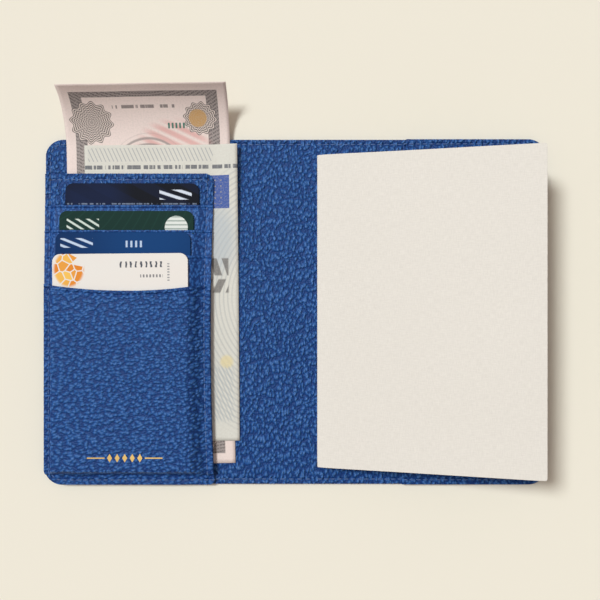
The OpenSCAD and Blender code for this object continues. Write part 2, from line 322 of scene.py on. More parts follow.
class Ink:
    """Builds one procedural material: masks and colours over the piece's flat map, in millimetres."""

    def __init__(self, name: str, flat: bool = True) -> None:
        """Starts a material.

        Args:
            name: Name of the material.
            flat: Whether places come from the flat map; otherwise from Object coordinates.
        """
        self.material = bpy.data.materials.new(name)
        self.material.use_nodes = True
        self.tree = self.material.node_tree
        self.shader = self.tree.nodes["Principled BSDF"]
        if flat:
            source = self.node("ShaderNodeUVMap", uv_map=FLAT_MAP).outputs["UV"]
        else:
            scale = self.node("ShaderNodeVectorMath", operation="SCALE")
            self.join(self.node("ShaderNodeTexCoord").outputs["Object"], scale.inputs[0])
            scale.inputs["Scale"].default_value = 1 / MM
            source = scale.outputs[0]
        self.place = source
        parts = self.node("ShaderNodeSeparateXYZ")
        self.join(source, parts.inputs[0])
        self.u, self.v, self.w = parts.outputs

    def node(self, kind: str, **values: object) -> bpy.types.Node:
        """Adds a node.

        Args:
            kind: Its type.
            **values: Properties to set on it.

        Returns:
            The node.
        """
        made = self.tree.nodes.new(kind)
        for key, value in values.items():
            setattr(made, key, value)
        return made

    def join(self, start: object, end: object) -> None:
        """Feeds one socket, or a number or colour, into another socket."""
        if isinstance(start, bpy.types.NodeSocket):
            self.tree.links.new(start, end)
        else:
            end.default_value = start

    def math(
        self, operation: str, a: object, b: object = 0.0, c: object = 0.0, clamp: bool = False
    ) -> object:
        """Returns the result of one Math node."""
        made = self.node("ShaderNodeMath", operation=operation, use_clamp=clamp)
        for value, socket in zip((a, b, c), made.inputs):
            self.join(value, socket)
        return made.outputs[0]

    def times(self, a: object, b: object) -> object:
        """Returns the product of two values."""
        return self.math("MULTIPLY", a, b)

    def plus(self, a: object, b: object) -> object:
        """Returns the sum of two values."""
        return self.math("ADD", a, b)

    def step(self, value: object, low: float, high: float) -> object:
        """Returns a smooth step of value from 0 at low to 1 at high."""
        made = self.node("ShaderNodeMapRange", interpolation_type="SMOOTHSTEP")
        self.join(value, made.inputs["Value"])
        made.inputs["From Min"].default_value = min(low, high)
        made.inputs["From Max"].default_value = max(low, high)
        made.inputs["To Min"].default_value = 0.0 if low < high else 1.0
        made.inputs["To Max"].default_value = 1.0 if low < high else 0.0
        return made.outputs[0]

    def band(self, value: object, low: float, high: float, soft: float = 0.06) -> object:
        """Returns a mask that is 1 where value lies between low and high."""
        rise = self.step(value, low - soft, low + soft)
        return self.times(rise, self.step(value, high + soft, high - soft))

    def box(self, u0: float, u1: float, v0: float, v1: float, soft: float = 0.06) -> object:
        """Returns a mask that is 1 inside a rectangle of the flat map."""
        return self.times(self.band(self.u, u0, u1, soft), self.band(self.v, v0, v1, soft))

    def distance(self, u: float, v: float, squash: float = 1.0) -> object:
        """Returns the distance from a point, with v stretched by squash."""
        du = self.math("SUBTRACT", self.u, u)
        dv = self.times(self.math("SUBTRACT", self.v, v), squash)
        return self.math("SQRT", self.plus(self.times(du, du), self.times(dv, dv)))

    def disc(self, u: float, v: float, radius: float, soft: float = 0.1) -> object:
        """Returns a mask that is 1 inside a circle of the flat map."""
        return self.step(self.distance(u, v), radius + soft, radius - soft)

    def along(self, degrees: float) -> object:
        """Returns the place along a direction of the flat map."""
        angle = math.radians(degrees)
        return self.plus(self.times(self.u, math.cos(angle)), self.times(self.v, math.sin(angle)))

    def stripes(self, value: object, pitch: float, share: float, soft: float = 0.08) -> object:
        """Returns a mask of stripes of a value.

        Args:
            value: The value that the stripes follow.
            pitch: Distance from one stripe to the next.
            share: Share of the pitch that a stripe fills.
            soft: Softness of a stripe's edges, as a share of the pitch.

        Returns:
            The mask's socket.
        """
        wave = self.math("PINGPONG", self.math("DIVIDE", value, pitch), 0.5)
        return self.step(wave, share / 2 + soft, share / 2 - soft)

    def striped(self, mask: object, value: object, pitch: float, share: float, soft: float = 0.08) -> object:
        """Returns a mask of stripes of a value, cut to another mask."""
        return self.times(mask, self.stripes(value, pitch, share, soft))

    def dashes(self, v0: float, v1: float, pitch: float, seed: float, fill: float = 0.5) -> object:
        """Returns a mask of a row of short uneven dashes, like fine print seen from afar."""
        noise = self.noise(1 / pitch, detail=1.0, stretch=(1.0, 0.02, 1.0), shift=(seed, seed, 0.0))
        return self.times(self.band(self.v, v0, v1, 0.05), self.step(noise, fill - 0.03, fill + 0.03))

    def noise(
        self,
        scale: float,
        detail: float = 3.0,
        rough: float = 0.5,
        stretch: Point = (1.0, 1.0, 1.0),
        shift: Point = (0.0, 0.0, 0.0),
    ) -> object:
        """Returns a noise value, with its scale in waves per millimetre."""
        mapping = self.node("ShaderNodeMapping")
        self.join(self.place, mapping.inputs["Vector"])
        mapping.inputs["Scale"].default_value = stretch
        mapping.inputs["Location"].default_value = shift
        made = self.node("ShaderNodeTexNoise")
        self.join(mapping.outputs[0], made.inputs["Vector"])
        made.inputs["Scale"].default_value = scale
        made.inputs["Detail"].default_value = detail
        made.inputs["Roughness"].default_value = rough
        return made.outputs["Fac"]

    def cells(
        self, size: float, feature: str, place: object | None = None, smoothness: float = 0.0
    ) -> object:
        """Returns the distance in a field of cells of the given size in millimetres.

        Args:
            size: Usual size of a cell.
            feature: What is measured: the distance to a cell's middle or to its edge.
            place: Where it is measured, if not at the piece's own places.
            smoothness: How far smooth cells run into each other.
        """
        made = self.node("ShaderNodeTexVoronoi", feature=feature, voronoi_dimensions="2D")
        self.join(self.place if place is None else place, made.inputs["Vector"])
        made.inputs["Scale"].default_value = 1 / size
        if feature == "SMOOTH_F1":
            made.inputs["Smoothness"].default_value = smoothness
        return made.outputs["Distance"]

    def mix(self, mask: object, under: object, over: object) -> object:
        """Returns a colour mixed from two by a mask."""
        made = self.node("ShaderNodeMix", data_type="RGBA")
        self.join(mask, made.inputs[0])
        self.join(under, made.inputs[6])
        self.join(over, made.inputs[7])
        return made.outputs[2]

    def paint(self, under: object, mask: object, colour: object, strength: float = 1.0) -> object:
        """Returns the colour below with another printed over it where the mask is 1."""
        if strength != 1.0:
            mask = self.times(mask, strength)
        return self.mix(mask, under, colour)

    def bump(self, height: object, depth: float, strength: float = 1.0) -> None:
        """Feeds a height from 0 to 1 into the shader's normal, depth millimetres deep."""
        made = self.node("ShaderNodeBump")
        made.inputs["Strength"].default_value = strength
        made.inputs["Distance"].default_value = depth * MM
        self.join(height, made.inputs["Height"])
        self.join(made.outputs[0], self.shader.inputs["Normal"])

    def finish(self, colour: object, roughness: object, **constants: float) -> bpy.types.Material:
        """Sets the shader's main sockets.

        Args:
            colour: Base colour.
            roughness: Roughness.
            **constants: Other sockets of the shader by name, with _ for a space.

        Returns:
            The finished material.
        """
        self.join(colour, self.shader.inputs["Base Color"])
        self.join(roughness, self.shader.inputs["Roughness"])
        for key, value in constants.items():
            self.shader.inputs[key.replace("_", " ")].default_value = value
        return self.material


def shaded(colour: tuple[int, int, int], share: float) -> tuple[float, float, float, float]:
    """Returns a share of a colour given as on a screen, in linear light."""
    return tint(*(round(c * share) for c in colour))


def tint(red: int, green: int, blue: int) -> tuple[float, float, float, float]:
    """Returns a colour given as on a screen, from 0 to 255, in linear light."""

    def linear(value: float) -> float:
        value /= 255
        return value / 12.92 if value <= 0.04045 else ((value + 0.055) / 1.055) ** 2.4

    return linear(red), linear(green), linear(blue), 1.0


# ---- Finishes -----------------------------------------------------------------------------------


@dataclass(frozen=True)
class PebbledLeather:
    """Full-grain leather with domed pebbles, painted shade in the creases and painted highlights on top.

    The pebble is a cell's size in millimetres, slender its share of that along, and lean its turn in
    degrees. The relief is the depth of the bump in millimetres. The crease colour is painted shade in
    the creases between the pebbles. The painted highlight is a paler colour painted on a pebble's top
    in place of light falling on it; the highlight share is how far a top takes it, and wrinkle how
    strongly long fine lines show between the pebbles.
    """

    name: str = "pebbled_blue_leather"
    # Colour of the painted highlight on the pebble tops.
    painted_highlight: tuple[int, int, int] = (96, 134, 188)
    face: tuple[int, int, int] = (26, 84, 156)
    # Colour of the painted shade in the creases between the pebbles.
    crease: tuple[int, int, int] = (3, 44, 106)
    pebble: float = 1.5
    slender: float = 0.72
    lean: float = -18.0
    relief: float = 0.8
    # Share of the painted highlight that a pebble's top takes.
    highlight_share: float = 0.5
    wrinkle: float = 0.12

    def build(self) -> bpy.types.Material:
        """Builds the material and returns it."""
        ink = Ink(self.name)
        place = self.wander(ink)
        dome = ink.cells(self.pebble, "SMOOTH_F1", place, 0.35)
        small = ink.cells(self.pebble * 0.5, "SMOOTH_F1", place, 0.3)
        uneven = ink.math("MULTIPLY_ADD", ink.noise(0.5, 2.0), 0.8, 0.4)
        pebbles = ink.times(ink.step(dome, 0.62, 0.02), uneven)
        fine = ink.times(ink.step(small, 0.7, 0.0), 0.24)
        lines = ink.times(ink.noise(0.8, 3.0, 0.6, stretch=(0.3, 1.6, 1.0)), self.wrinkle)
        height = ink.plus(ink.plus(pebbles, fine), lines)
        patches = ink.noise(0.035, 2.0)
        face = ink.mix(patches, tint(*self.face), shaded(self.face, 0.93))
        # Painted shade: the creases between the pebbles take the darker crease colour.
        colour = ink.mix(ink.step(height, 0.05, 0.6), tint(*self.crease), face)
        # Painted highlight: the pebble tops are painted paler, standing in for light falling on them.
        colour = ink.paint(colour, ink.step(height, 0.3, 1.1), tint(*self.painted_highlight), self.highlight_share)
        rough = ink.node("ShaderNodeMapRange")
        ink.join(height, rough.inputs["Value"])
        rough.inputs["To Min"].default_value = 0.64
        rough.inputs["To Max"].default_value = 0.46
        ink.bump(height, self.relief, 1.0)
        blue_gloss = (0.55, 0.72, 1.0, 1.0)
        return ink.finish(colour, rough.outputs[0], Specular_IOR_Level=0.4, Specular_Tint=blue_gloss)

    def wander(self, ink: Ink) -> object:
        """Returns places on the hide, turned, stretched and pushed about so that no two pebbles match."""
        turned = ink.node("ShaderNodeMapping")
        ink.join(ink.place, turned.inputs["Vector"])
        turned.inputs["Rotation"].default_value = (0.0, 0.0, math.radians(self.lean))
        turned.inputs["Scale"].default_value = (1.0, self.slender, 1.0)
        place = turned.outputs[0]
        for scale, reach in ((0.12, 2.4), (0.5, 0.55)):
            noise = ink.node("ShaderNodeTexNoise")
            ink.join(ink.place, noise.inputs["Vector"])
            noise.inputs["Scale"].default_value = scale
            noise.inputs["Detail"].default_value = 2.0
            push = ink.node("ShaderNodeVectorMath", operation="MULTIPLY_ADD")
            ink.join(noise.outputs["Color"], push.inputs[0])
            push.inputs[1].default_value = (reach, reach, 0.0)
            ink.join(place, push.inputs[2])
            place = push.outputs[0]
        return place


@dataclass(frozen=True)
class StitchThread:
    """Waxed sewing thread with a fine twist."""

    name: str
    colour: tuple[int, int, int] = (72, 112, 178)

    def build(self) -> bpy.types.Material:
        """Builds the material and returns it."""
        ink = Ink(self.name, flat=False)
        twist = ink.stripes(ink.plus(ink.along(45.0), ink.times(ink.w, 0.7)), 0.28, 0.5)
        ink.bump(twist, 0.05)
        # Painted shade: the grooves between the twisted plies are painted darker.
        colour = ink.mix(twist, shaded(self.colour, 0.72), tint(*self.colour))
        return ink.finish(colour, 0.6, Sheen_Weight=0.15)


@dataclass(frozen=True)
class WovenLining:
    """Thin plain-woven cloth behind slots and pockets."""

    name: str = "woven_lining"
    colour: tuple[int, int, int] = (27, 47, 87)
    thread: float = 0.32

    def build(self) -> bpy.types.Material:
        """Builds the material and returns it."""
        ink = Ink(self.name)
        warp = ink.stripes(ink.u, self.thread, 0.6, 0.2)
        weft = ink.stripes(ink.v, self.thread, 0.6, 0.2)
        weave = ink.plus(ink.times(warp, 0.5), ink.times(weft, 0.5))
        ink.bump(weave, 0.04)
        # Painted shade: the cloth is painted darker where the threads sink, darkest in the gaps between them.
        colour = ink.mix(weave, shaded(self.colour, 0.6), tint(*self.colour))
        return ink.finish(colour, 0.85, Sheen_Weight=0.2)


@dataclass(frozen=True)
class GreyBoard:
    """Stiffening board, sealed inside the covers."""

    name: str = "stiffening_board"
    colour: tuple[int, int, int] = (201, 180, 140)

    def build(self) -> bpy.types.Material:
        """Builds the material and returns it."""
        ink = Ink(self.name, flat=False)
        fibres = ink.noise(1.6, 4.0, 0.6, stretch=(1.0, 0.3, 1.0))
        ink.bump(fibres, 0.03)
        return ink.finish(ink.mix(fibres, shaded(self.colour, 0.84), tint(*self.colour)), 0.9)


@dataclass(frozen=True)
class PressedFoil:
    """Gold foil pressed into leather."""

    name: str = "pressed_gold_foil"
    colour: tuple[int, int, int] = (240, 200, 120)

    def build(self) -> bpy.types.Material:
        """Builds the material and returns it."""
        ink = Ink(self.name)
        grain = ink.noise(2.2, 3.0)
        ink.bump(grain, 0.03)
        return ink.finish(ink.mix(grain, shaded(self.colour, 0.85), tint(*self.colour)), 0.42, Metallic=0.55)


@dataclass(frozen=True)
class CoverPaper:
    """The booklet's cover: pale card with a fine linen grain."""

    name: str = "linen_grain_cover"
    colour: tuple[int, int, int] = (228, 222, 214)

    def build(self) -> bpy.types.Material:
        """Builds the material and returns it."""
        ink = Ink(self.name)
        across = ink.noise(1.9, 3.0, 0.6, stretch=(0.2, 1.6, 1.0))
        along = ink.noise(1.9, 3.0, 0.6, stretch=(1.6, 0.2, 1.0), shift=(7.0, 3.0, 0.0))
        grain = ink.plus(ink.times(across, 0.5), ink.times(along, 0.5))
        dark = shaded(self.colour, 0.95)
        cloud = ink.noise(0.03, 2.0)
        base = ink.mix(ink.step(grain, 0.35, 0.65), dark, tint(*self.colour))
        base = ink.paint(base, cloud, dark, 0.3)
        ink.bump(grain, 0.16, 0.8)
        return ink.finish(base, 0.72, Specular_IOR_Level=0.3)


@dataclass(frozen=True)
class LeafPaper:
    """The booklet's inner leaves."""

    name: str = "leaf_paper"
    colour: tuple[int, int, int] = (243, 239, 230)

    def build(self) -> bpy.types.Material:
        """Builds the material and returns it."""
        ink = Ink(self.name)
        fibres = ink.noise(0.8, 4.0, 0.6)
        sway = ink.times(ink.math("SINE", ink.times(ink.u, 0.35)), 1.6)
        lines = ink.stripes(ink.plus(ink.v, sway), 2.4, 0.12)
        dark = shaded(self.colour, 0.95)
        base = ink.mix(fibres, dark, tint(*self.colour))
        base = ink.paint(base, lines, tint(205, 214, 222), 0.5)
        ink.bump(fibres, 0.02)
        return ink.finish(base, 0.8)


class CardFace(Enum):
    """The four cards, from the highest slot to the front pocket."""

    NAVY = 1
    GREEN = 2
    BLUE = 3
    WHITE = 4


@dataclass(frozen=True)
class PrintedCard:
    """A laminated plastic card with a made-up print. Its map starts at the card's lower left corner."""

    face: CardFace
    width: float
    length: float

    def build(self) -> bpy.types.Material:
        """Builds the material and returns it."""
        ink = Ink(f"card_print_{self.face.name.lower()}")
        painters = {
            CardFace.NAVY: self.navy,
            CardFace.GREEN: self.green,
            CardFace.BLUE: self.blue,
            CardFace.WHITE: self.white,
        }
        colour = painters[self.face](ink)
        speckle = ink.noise(3.0, 2.0)
        ink.bump(speckle, 0.006)
        return ink.finish(colour, 0.55, Specular_IOR_Level=0.05)

    def navy(self, ink: Ink) -> object:
        """Returns the colour of the near-black card with pale facets and a row of bars."""
        top = self.length
        facets = ink.stripes(ink.along(62.0), 9.0, 0.5, 0.02)
        base = ink.mix(facets, tint(8, 12, 24), tint(12, 20, 42))
        base = ink.paint(base, ink.box(-1, self.width * 0.42, 0, top + 1, 6.0), tint(18, 36, 78), 0.5)
        bars = ink.striped(ink.box(38, 51, top - 6.6, top - 2.6), ink.along(72.0), 2.9, 0.4)
        base = ink.paint(base, bars, tint(214, 222, 236))
        base = ink.paint(base, ink.dashes(top - 8.6, top - 8.0, 1.2, 3.0), tint(150, 164, 190), 0.5)
        return self.chip(ink, base)

    def green(self, ink: Ink) -> object:
        """Returns the colour of the dark green card with a pale disc at the right."""
        top = self.length
        lines = ink.stripes(ink.distance(-10.0, top + 20.0), 3.2, 0.12)
        base = ink.paint(tint(18, 50, 44), lines, tint(28, 66, 58), 0.5)
        disc = ink.disc(47.0, top - 6.6, 4.6)
        base = ink.paint(base, disc, tint(226, 230, 226))
        core = ink.striped(disc, ink.v, 1.6, 0.35)
        base = ink.paint(base, core, tint(120, 140, 132), 0.7)
        mark = ink.striped(ink.box(3, 16, top - 7.4, top - 3.2), ink.along(58.0), 2.3, 0.34)
        base = ink.paint(base, mark, tint(210, 222, 214))
        return self.chip(ink, base)

    def blue(self, ink: Ink) -> object:
        """Returns the colour of the blue card with short pale bars."""
        top = self.length
        glow = ink.step(ink.distance(self.width * 0.7, top - 2.0), 42.0, 4.0)
        base = ink.mix(glow, tint(6, 44, 92), tint(10, 62, 118))
        mark = ink.striped(ink.box(2, 15, top - 6.2, top - 2.4), ink.along(68.0), 2.6, 0.36)
        base = ink.paint(base, mark, tint(196, 212, 236))
        count = ink.striped(ink.box(28, 35, top - 6.0, top - 3.4), ink.u, 1.9, 0.42)
        base = ink.paint(base, count, tint(188, 206, 232))
        return self.chip(ink, base)

    def white(self, ink: Ink) -> object:
        """Returns the colour of the white card with an orange mosaic and fine dark print."""
        top, tile = self.length, 3.4
        base = ink.paint(tint(233, 231, 226), ink.noise(0.06, 2.0), tint(236, 224, 217), 0.7)
        joints = ink.step(ink.cells(tile, "DISTANCE_TO_EDGE"), 0.04, 0.09)
        patch = ink.times(ink.step(ink.distance(6.6, top - 6.0, 0.85), 6.6, 5.2), joints)
        shades = ink.node("ShaderNodeTexVoronoi", feature="F1", voronoi_dimensions="2D")
        ink.join(ink.place, shades.inputs["Vector"])
        shades.inputs["Scale"].default_value = 1 / tile
        parts = ink.node("ShaderNodeSeparateColor")
        ink.join(shades.outputs["Color"], parts.inputs[0])
        warm = ink.mix(parts.outputs[0], tint(226, 128, 38), tint(246, 196, 96))
        base = ink.paint(base, ink.times(patch, ink.step(parts.outputs[1], 0.2, 0.3)), warm)
        uneven = ink.plus(ink.u, ink.times(ink.noise(0.5, 1.0), 1.2))
        digits = ink.striped(ink.box(26, 44, top - 5.6, top - 3.2), uneven, 2.0, 0.36)
        base = ink.paint(base, digits, tint(78, 82, 92))
        small = ink.striped(ink.box(35, 44, top - 9.6, top - 8.4), ink.u, 1.3, 0.5)
        base = ink.paint(base, small, tint(90, 90, 98), 0.8)
        side = ink.striped(ink.box(45.8, 46.7, top - 11.0, top - 4.0), ink.v, 1.1, 0.5)
        return ink.paint(base, side, tint(96, 100, 110), 0.7)

    def chip(self, ink: Ink, base: object) -> object:
        """Returns the colour below with a contact plate and one row of embossed-looking marks."""
        plate = ink.box(self.width / 2 - 4.6, self.width / 2 + 4.6, 56.0, 67.0, 0.2)
        base = ink.paint(base, plate, tint(206, 184, 128))
        grid = ink.math("MAXIMUM", ink.stripes(ink.u, 3.07, 0.08, 0.03), ink.stripes(ink.v, 3.67, 0.08, 0.03))
        base = ink.paint(base, ink.times(plate, grid), tint(120, 104, 66))
        row = ink.striped(ink.box(8, self.width - 8, 38.0, 41.0), ink.u, 2.2, 0.5)
        return ink.paint(base, row, tint(190, 196, 204), 0.55)


class NoteFace(Enum):
    """The two banknotes."""

    LARGE = 1
    SMALL = 2


@dataclass(frozen=True)
class PrintedNote:
    """Banknote paper with a made-up engraved print. Its map starts at the note's lower left corner."""

    face: NoteFace
    width: float
    length: float

    def build(self) -> bpy.types.Material:
        """Builds the material and returns it."""
        ink = Ink(f"note_print_{self.face.name.lower()}")
        colour = self.large(ink) if self.face is NoteFace.LARGE else self.small(ink)
        fibres = ink.noise(1.4, 4.0, 0.6)
        colour = ink.paint(colour, ink.step(fibres, 0.6, 0.3), tint(190, 182, 172), 0.25)
        ink.bump(fibres, 0.03)
        return ink.finish(colour, 0.75, Specular_IOR_Level=0.3)

    def rosette(self, ink: Ink, u: float, v: float, radius: float) -> tuple[object, object]:
        """Returns the mask of a round engraved ornament and the mask of its fine rings."""
        du, dv = ink.math("SUBTRACT", ink.u, u), ink.math("SUBTRACT", ink.v, v)
        petals = ink.math("SINE", ink.times(ink.math("ARCTAN2", dv, du), 12.0))
        far = ink.plus(ink.distance(u, v), ink.times(petals, radius * 0.08))
        return ink.step(far, radius + 0.1, radius - 0.1), ink.stripes(far, 0.9, 0.45, 0.1)

    def large(self, ink: Ink) -> object:
        """Returns the colour of the cream note with a dark engraved frame."""
        top = self.length
        base = ink.mix(ink.noise(0.02, 2.0), tint(238, 222, 216), tint(232, 212, 206))
        rising, falling = ink.stripes(ink.along(38.0), 0.9, 0.5), ink.stripes(ink.along(-38.0), 0.9, 0.4)
        hatch = ink.math("MAXIMUM", rising, falling)
        dark, grey = tint(70, 64, 66), tint(142, 132, 130)
        inner = ink.box(8.6, self.width - 8.6, 6.6, top - 6.6)
        border = ink.math("SUBTRACT", ink.box(4.0, self.width - 4.0, 4.0, top - 4.0), inner, clamp=True)
        fine = ink.stripes(ink.distance(self.width / 2, top + 30.0), 1.3, 0.5, 0.1)
        base = ink.paint(base, border, ink.mix(ink.times(hatch, fine), grey, dark), 0.9)
        swash = ink.step(ink.distance(self.width * 0.66, top - 26.0, 1.5), 17.0, 9.0)
        feather = ink.striped(swash, ink.along(64.0), 3.4, 0.6, 0.2)
        base = ink.paint(base, feather, tint(214, 132, 128), 0.55)
        arch = ink.step(ink.distance(self.width / 2, top - 60.0, 0.62), 24.0, 23.4)
        rings = ink.stripes(ink.distance(self.width / 2, top - 60.0, 0.62), 1.5, 0.4, 0.12)
        base = ink.paint(base, ink.times(arch, rings), grey, 0.8)
        right = self.width
        upper = ((11.0, top - 17.0, 8.2), (right - 11.5, top - 16.0, 6.4))
        for u, v, size in (*upper, (11.0, 15.0, 7.0), (right - 11.0, 15.0, 7.5)):
            disc, fine = self.rosette(ink, u, v, size)
            base = ink.paint(base, disc, ink.mix(fine, tint(222, 206, 198), dark))
        gold = ink.disc(right - 12.5, top - 16.0, 3.6, 0.3)
        base = ink.paint(base, gold, tint(196, 152, 92), 0.9)
        teal = ink.striped(ink.box(right - 25, right - 17, top - 20, top - 17.8), ink.u, 1.5, 0.5)
        base = ink.paint(base, teal, tint(42, 108, 92))
        row = ink.times(ink.dashes(top - 11.6, top - 10.2, 1.4, 5.0), ink.box(20, right - 20, 0, top))
        return ink.paint(base, row, tint(96, 90, 90), 0.8)

    def small(self, ink: Ink) -> object:
        """Returns the colour of the pale grey note with a blue block and fine curved lines."""
        top = self.length
        base = ink.mix(ink.noise(0.02, 2.0, shift=(3.0, 9.0, 0.0)), tint(224, 221, 212), tint(208, 207, 198))
        base = ink.paint(base, ink.dashes(top - 9.7, top - 8.1, 0.8, 11.0, 0.44), tint(84, 88, 98), 0.9)
        right = self.width
        slant = ink.striped(ink.box(1.5, right - 10.0, top - 6.6, top - 1.2), ink.along(24.0), 1.5, 0.2)
        base = ink.paint(base, slant, tint(132, 138, 150), 0.7)
        sweep = ink.distance(right + 16.0, top - 62.0, 0.8)
        lines = ink.times(ink.stripes(sweep, 1.7, 0.34, 0.12), ink.band(sweep, 18.0, 46.0, 3.0))
        base = ink.paint(base, lines, tint(160, 164, 166), 0.4)
        wash = ink.step(ink.distance(right - 8.0, top - 38.0, 0.5), 10.0, 3.0)
        base = ink.paint(base, wash, tint(170, 182, 192), 0.6)
        for low, high, turn in ((46.0, 53.0, 18.0), (54.5, 60.0, -24.0)):
            place = ink.box(right - 12.5, right - 4.0, top - high, top - low, 0.4)
            wedge = ink.striped(place, ink.along(turn), 4.8, 0.6, 0.04)
            base = ink.paint(base, wedge, tint(104, 100, 98), 0.85)
        yellow = ink.disc(right - 5.0, top - 88.0, 2.6, 0.8)
        base = ink.paint(base, yellow, tint(226, 208, 150), 0.7)
        weave = ink.striped(ink.box(right - 16, right - 2, 8.0, 30.0, 1.5), ink.along(24.0), 1.3, 0.4, 0.12)
        base = ink.paint(base, weave, tint(168, 176, 180), 0.7)
        block = ink.box(right - 17.0, right - 3.4, top - 25.8, top - 12.4)
        base = ink.paint(base, block, tint(52, 84, 158))
        spots = ink.times(ink.stripes(ink.u, 2.4, 0.16), ink.stripes(ink.v, 2.4, 0.16))
        spots = ink.times(spots, ink.box(right - 12.0, right - 6.0, top - 24.0, top - 14.0))
        return ink.paint(base, spots, tint(224, 204, 120), 0.7)


@dataclass(frozen=True)
class TableTop:
    """The plain pale surface that the holder lies on."""

    name: str = "pale_table"
    colour: tuple[int, int, int] = (237, 231, 217)

    def build(self) -> bpy.types.Material:
        """Builds the material and returns it."""
        ink = Ink(self.name, flat=False)
        return ink.finish(tint(*self.colour), 0.95, Specular_IOR_Level=0.1)


# ---- Stitches -----------------------------------------------------------------------------------


class StitchRow:
    """Geometry Nodes that set one stitch after another along a seam's line."""

    def __init__(self, thread: bpy.types.Material) -> None:
        """Builds the tree with named inputs for a stitch's sizes.

        Args:
            thread: Finish of the stitches.
        """
        tree = bpy.data.node_groups.new("stitch_row", "GeometryNodeTree")
        tree.interface.new_socket("Seam", in_out="INPUT", socket_type="NodeSocketGeometry")
        self.inputs = {
            name: tree.interface.new_socket(name, in_out="INPUT", socket_type="NodeSocketFloat").identifier
            for name in ("Pitch", "Stitch Length", "Thread Width")
        }
        tree.interface.new_socket("Stitches", in_out="OUTPUT", socket_type="NodeSocketGeometry")
        new, link = tree.nodes.new, tree.links.new
        given, made = new("NodeGroupInput"), new("NodeGroupOutput")
        curve, points = new("GeometryNodeMeshToCurve"), new("GeometryNodeCurveToPoints")
        points.mode = "LENGTH"
        link(given.outputs["Seam"], curve.inputs["Mesh"])
        link(curve.outputs["Curve"], points.inputs["Curve"])
        link(given.outputs["Pitch"], points.inputs["Length"])
        ball = new("GeometryNodeMeshUVSphere")
        ball.inputs["Segments"].default_value = 8
        ball.inputs["Rings"].default_value = 6
        ball.inputs["Radius"].default_value = 0.5
        size = new("ShaderNodeCombineXYZ")
        for axis, name in (("X", "Thread Width"), ("Y", "Thread Width"), ("Z", "Stitch Length")):
            link(given.outputs[name], size.inputs[axis])
        shape = new("GeometryNodeTransform")
        link(ball.outputs["Mesh"], shape.inputs["Geometry"])
        link(size.outputs[0], shape.inputs["Scale"])
        place = new("GeometryNodeInstanceOnPoints")
        link(points.outputs["Points"], place.inputs["Points"])
        link(shape.outputs["Geometry"], place.inputs["Instance"])
        link(points.outputs["Rotation"], place.inputs["Rotation"])
        sewn = place.outputs["Instances"]
        for kind in ("RealizeInstances", "SetShadeSmooth", "SetMaterial"):
            step = new(f"GeometryNode{kind}")
            link(sewn, step.inputs["Geometry"])
            sewn = step.outputs["Geometry"]
        step.inputs["Material"].default_value = thread
        link(sewn, made.inputs["Stitches"])
        self.tree = tree

    def sew(
        self, name: str, seams: list[np.ndarray], pitch: float, length: float, width: float
    ) -> bpy.types.Object:
        """Sews rows of stitches.

        Args:
            name: Name of the piece.
            seams: Lines in millimetres, one array of points each.
            pitch: Distance from stitch to stitch, in millimetres.
            length: Length of a stitch, in millimetres.
            width: Thickness of the thread, in millimetres.

        Returns:
            One plain mesh of all the stitches.
        """
        mesh = bpy.data.meshes.new(name)
        edges, count = [], 0
        for seam in seams:
            edges += [(count + i, count + i + 1) for i in range(len(seam) - 1)]
            count += len(seam)
        mesh.from_pydata((np.concatenate(seams) * MM).tolist(), edges, [])
        line = bpy.data.objects.new(f"{name}_line", mesh)
        bpy.context.collection.objects.link(line)
        row = line.modifiers.new("stitches", "NODES")
        row.node_group = self.tree
        for key, value in (("Pitch", pitch), ("Stitch Length", length), ("Thread Width", width)):
            row[self.inputs[key]] = value * MM
        graph = bpy.context.evaluated_depsgraph_get()
        sewn = bpy.data.meshes.new_from_object(line.evaluated_get(graph))
        bpy.data.objects.remove(line)
        sewn.name = name
        piece = bpy.data.objects.new(name, sewn)
        bpy.context.collection.objects.link(piece)
        return piece


def follow(points: list[Place], height: Height, proud: float = 0.0, spacing: float = 0.5) -> np.ndarray:
    """A line laid on a surface.

    Args:
        points: Corners of the line, in millimetres.
        height: The surface's height.
        proud: How far the line lies above the surface.
        spacing: Distance between the line's own points.

    Returns:
        The line's points, one row each.
    """
    corners = np.array(points, dtype=float)
    lengths = np.concatenate([[0.0], np.cumsum(np.linalg.norm(np.diff(corners, axis=0), axis=1))])
    at = np.linspace(0.0, lengths[-1], max(2, round(lengths[-1] / spacing)))
    x, y = (np.interp(at, lengths, corners[:, i]) for i in (0, 1))
    return np.stack([x, y, height(x, y) + proud], axis=-1)


def rounded(
    x: float, y: float, radius: float, start: float, sweep: float, steps: int = 10
) -> list[Place]:
    """Returns points on an arc about (x, y), from start through sweep degrees."""
    angles = [math.radians(start + sweep * i / steps) for i in range(steps + 1)]
    return [(x + radius * math.cos(a), y + radius * math.sin(a)) for a in angles]


# ---- Cover --------------------------------------------------------------------------------------


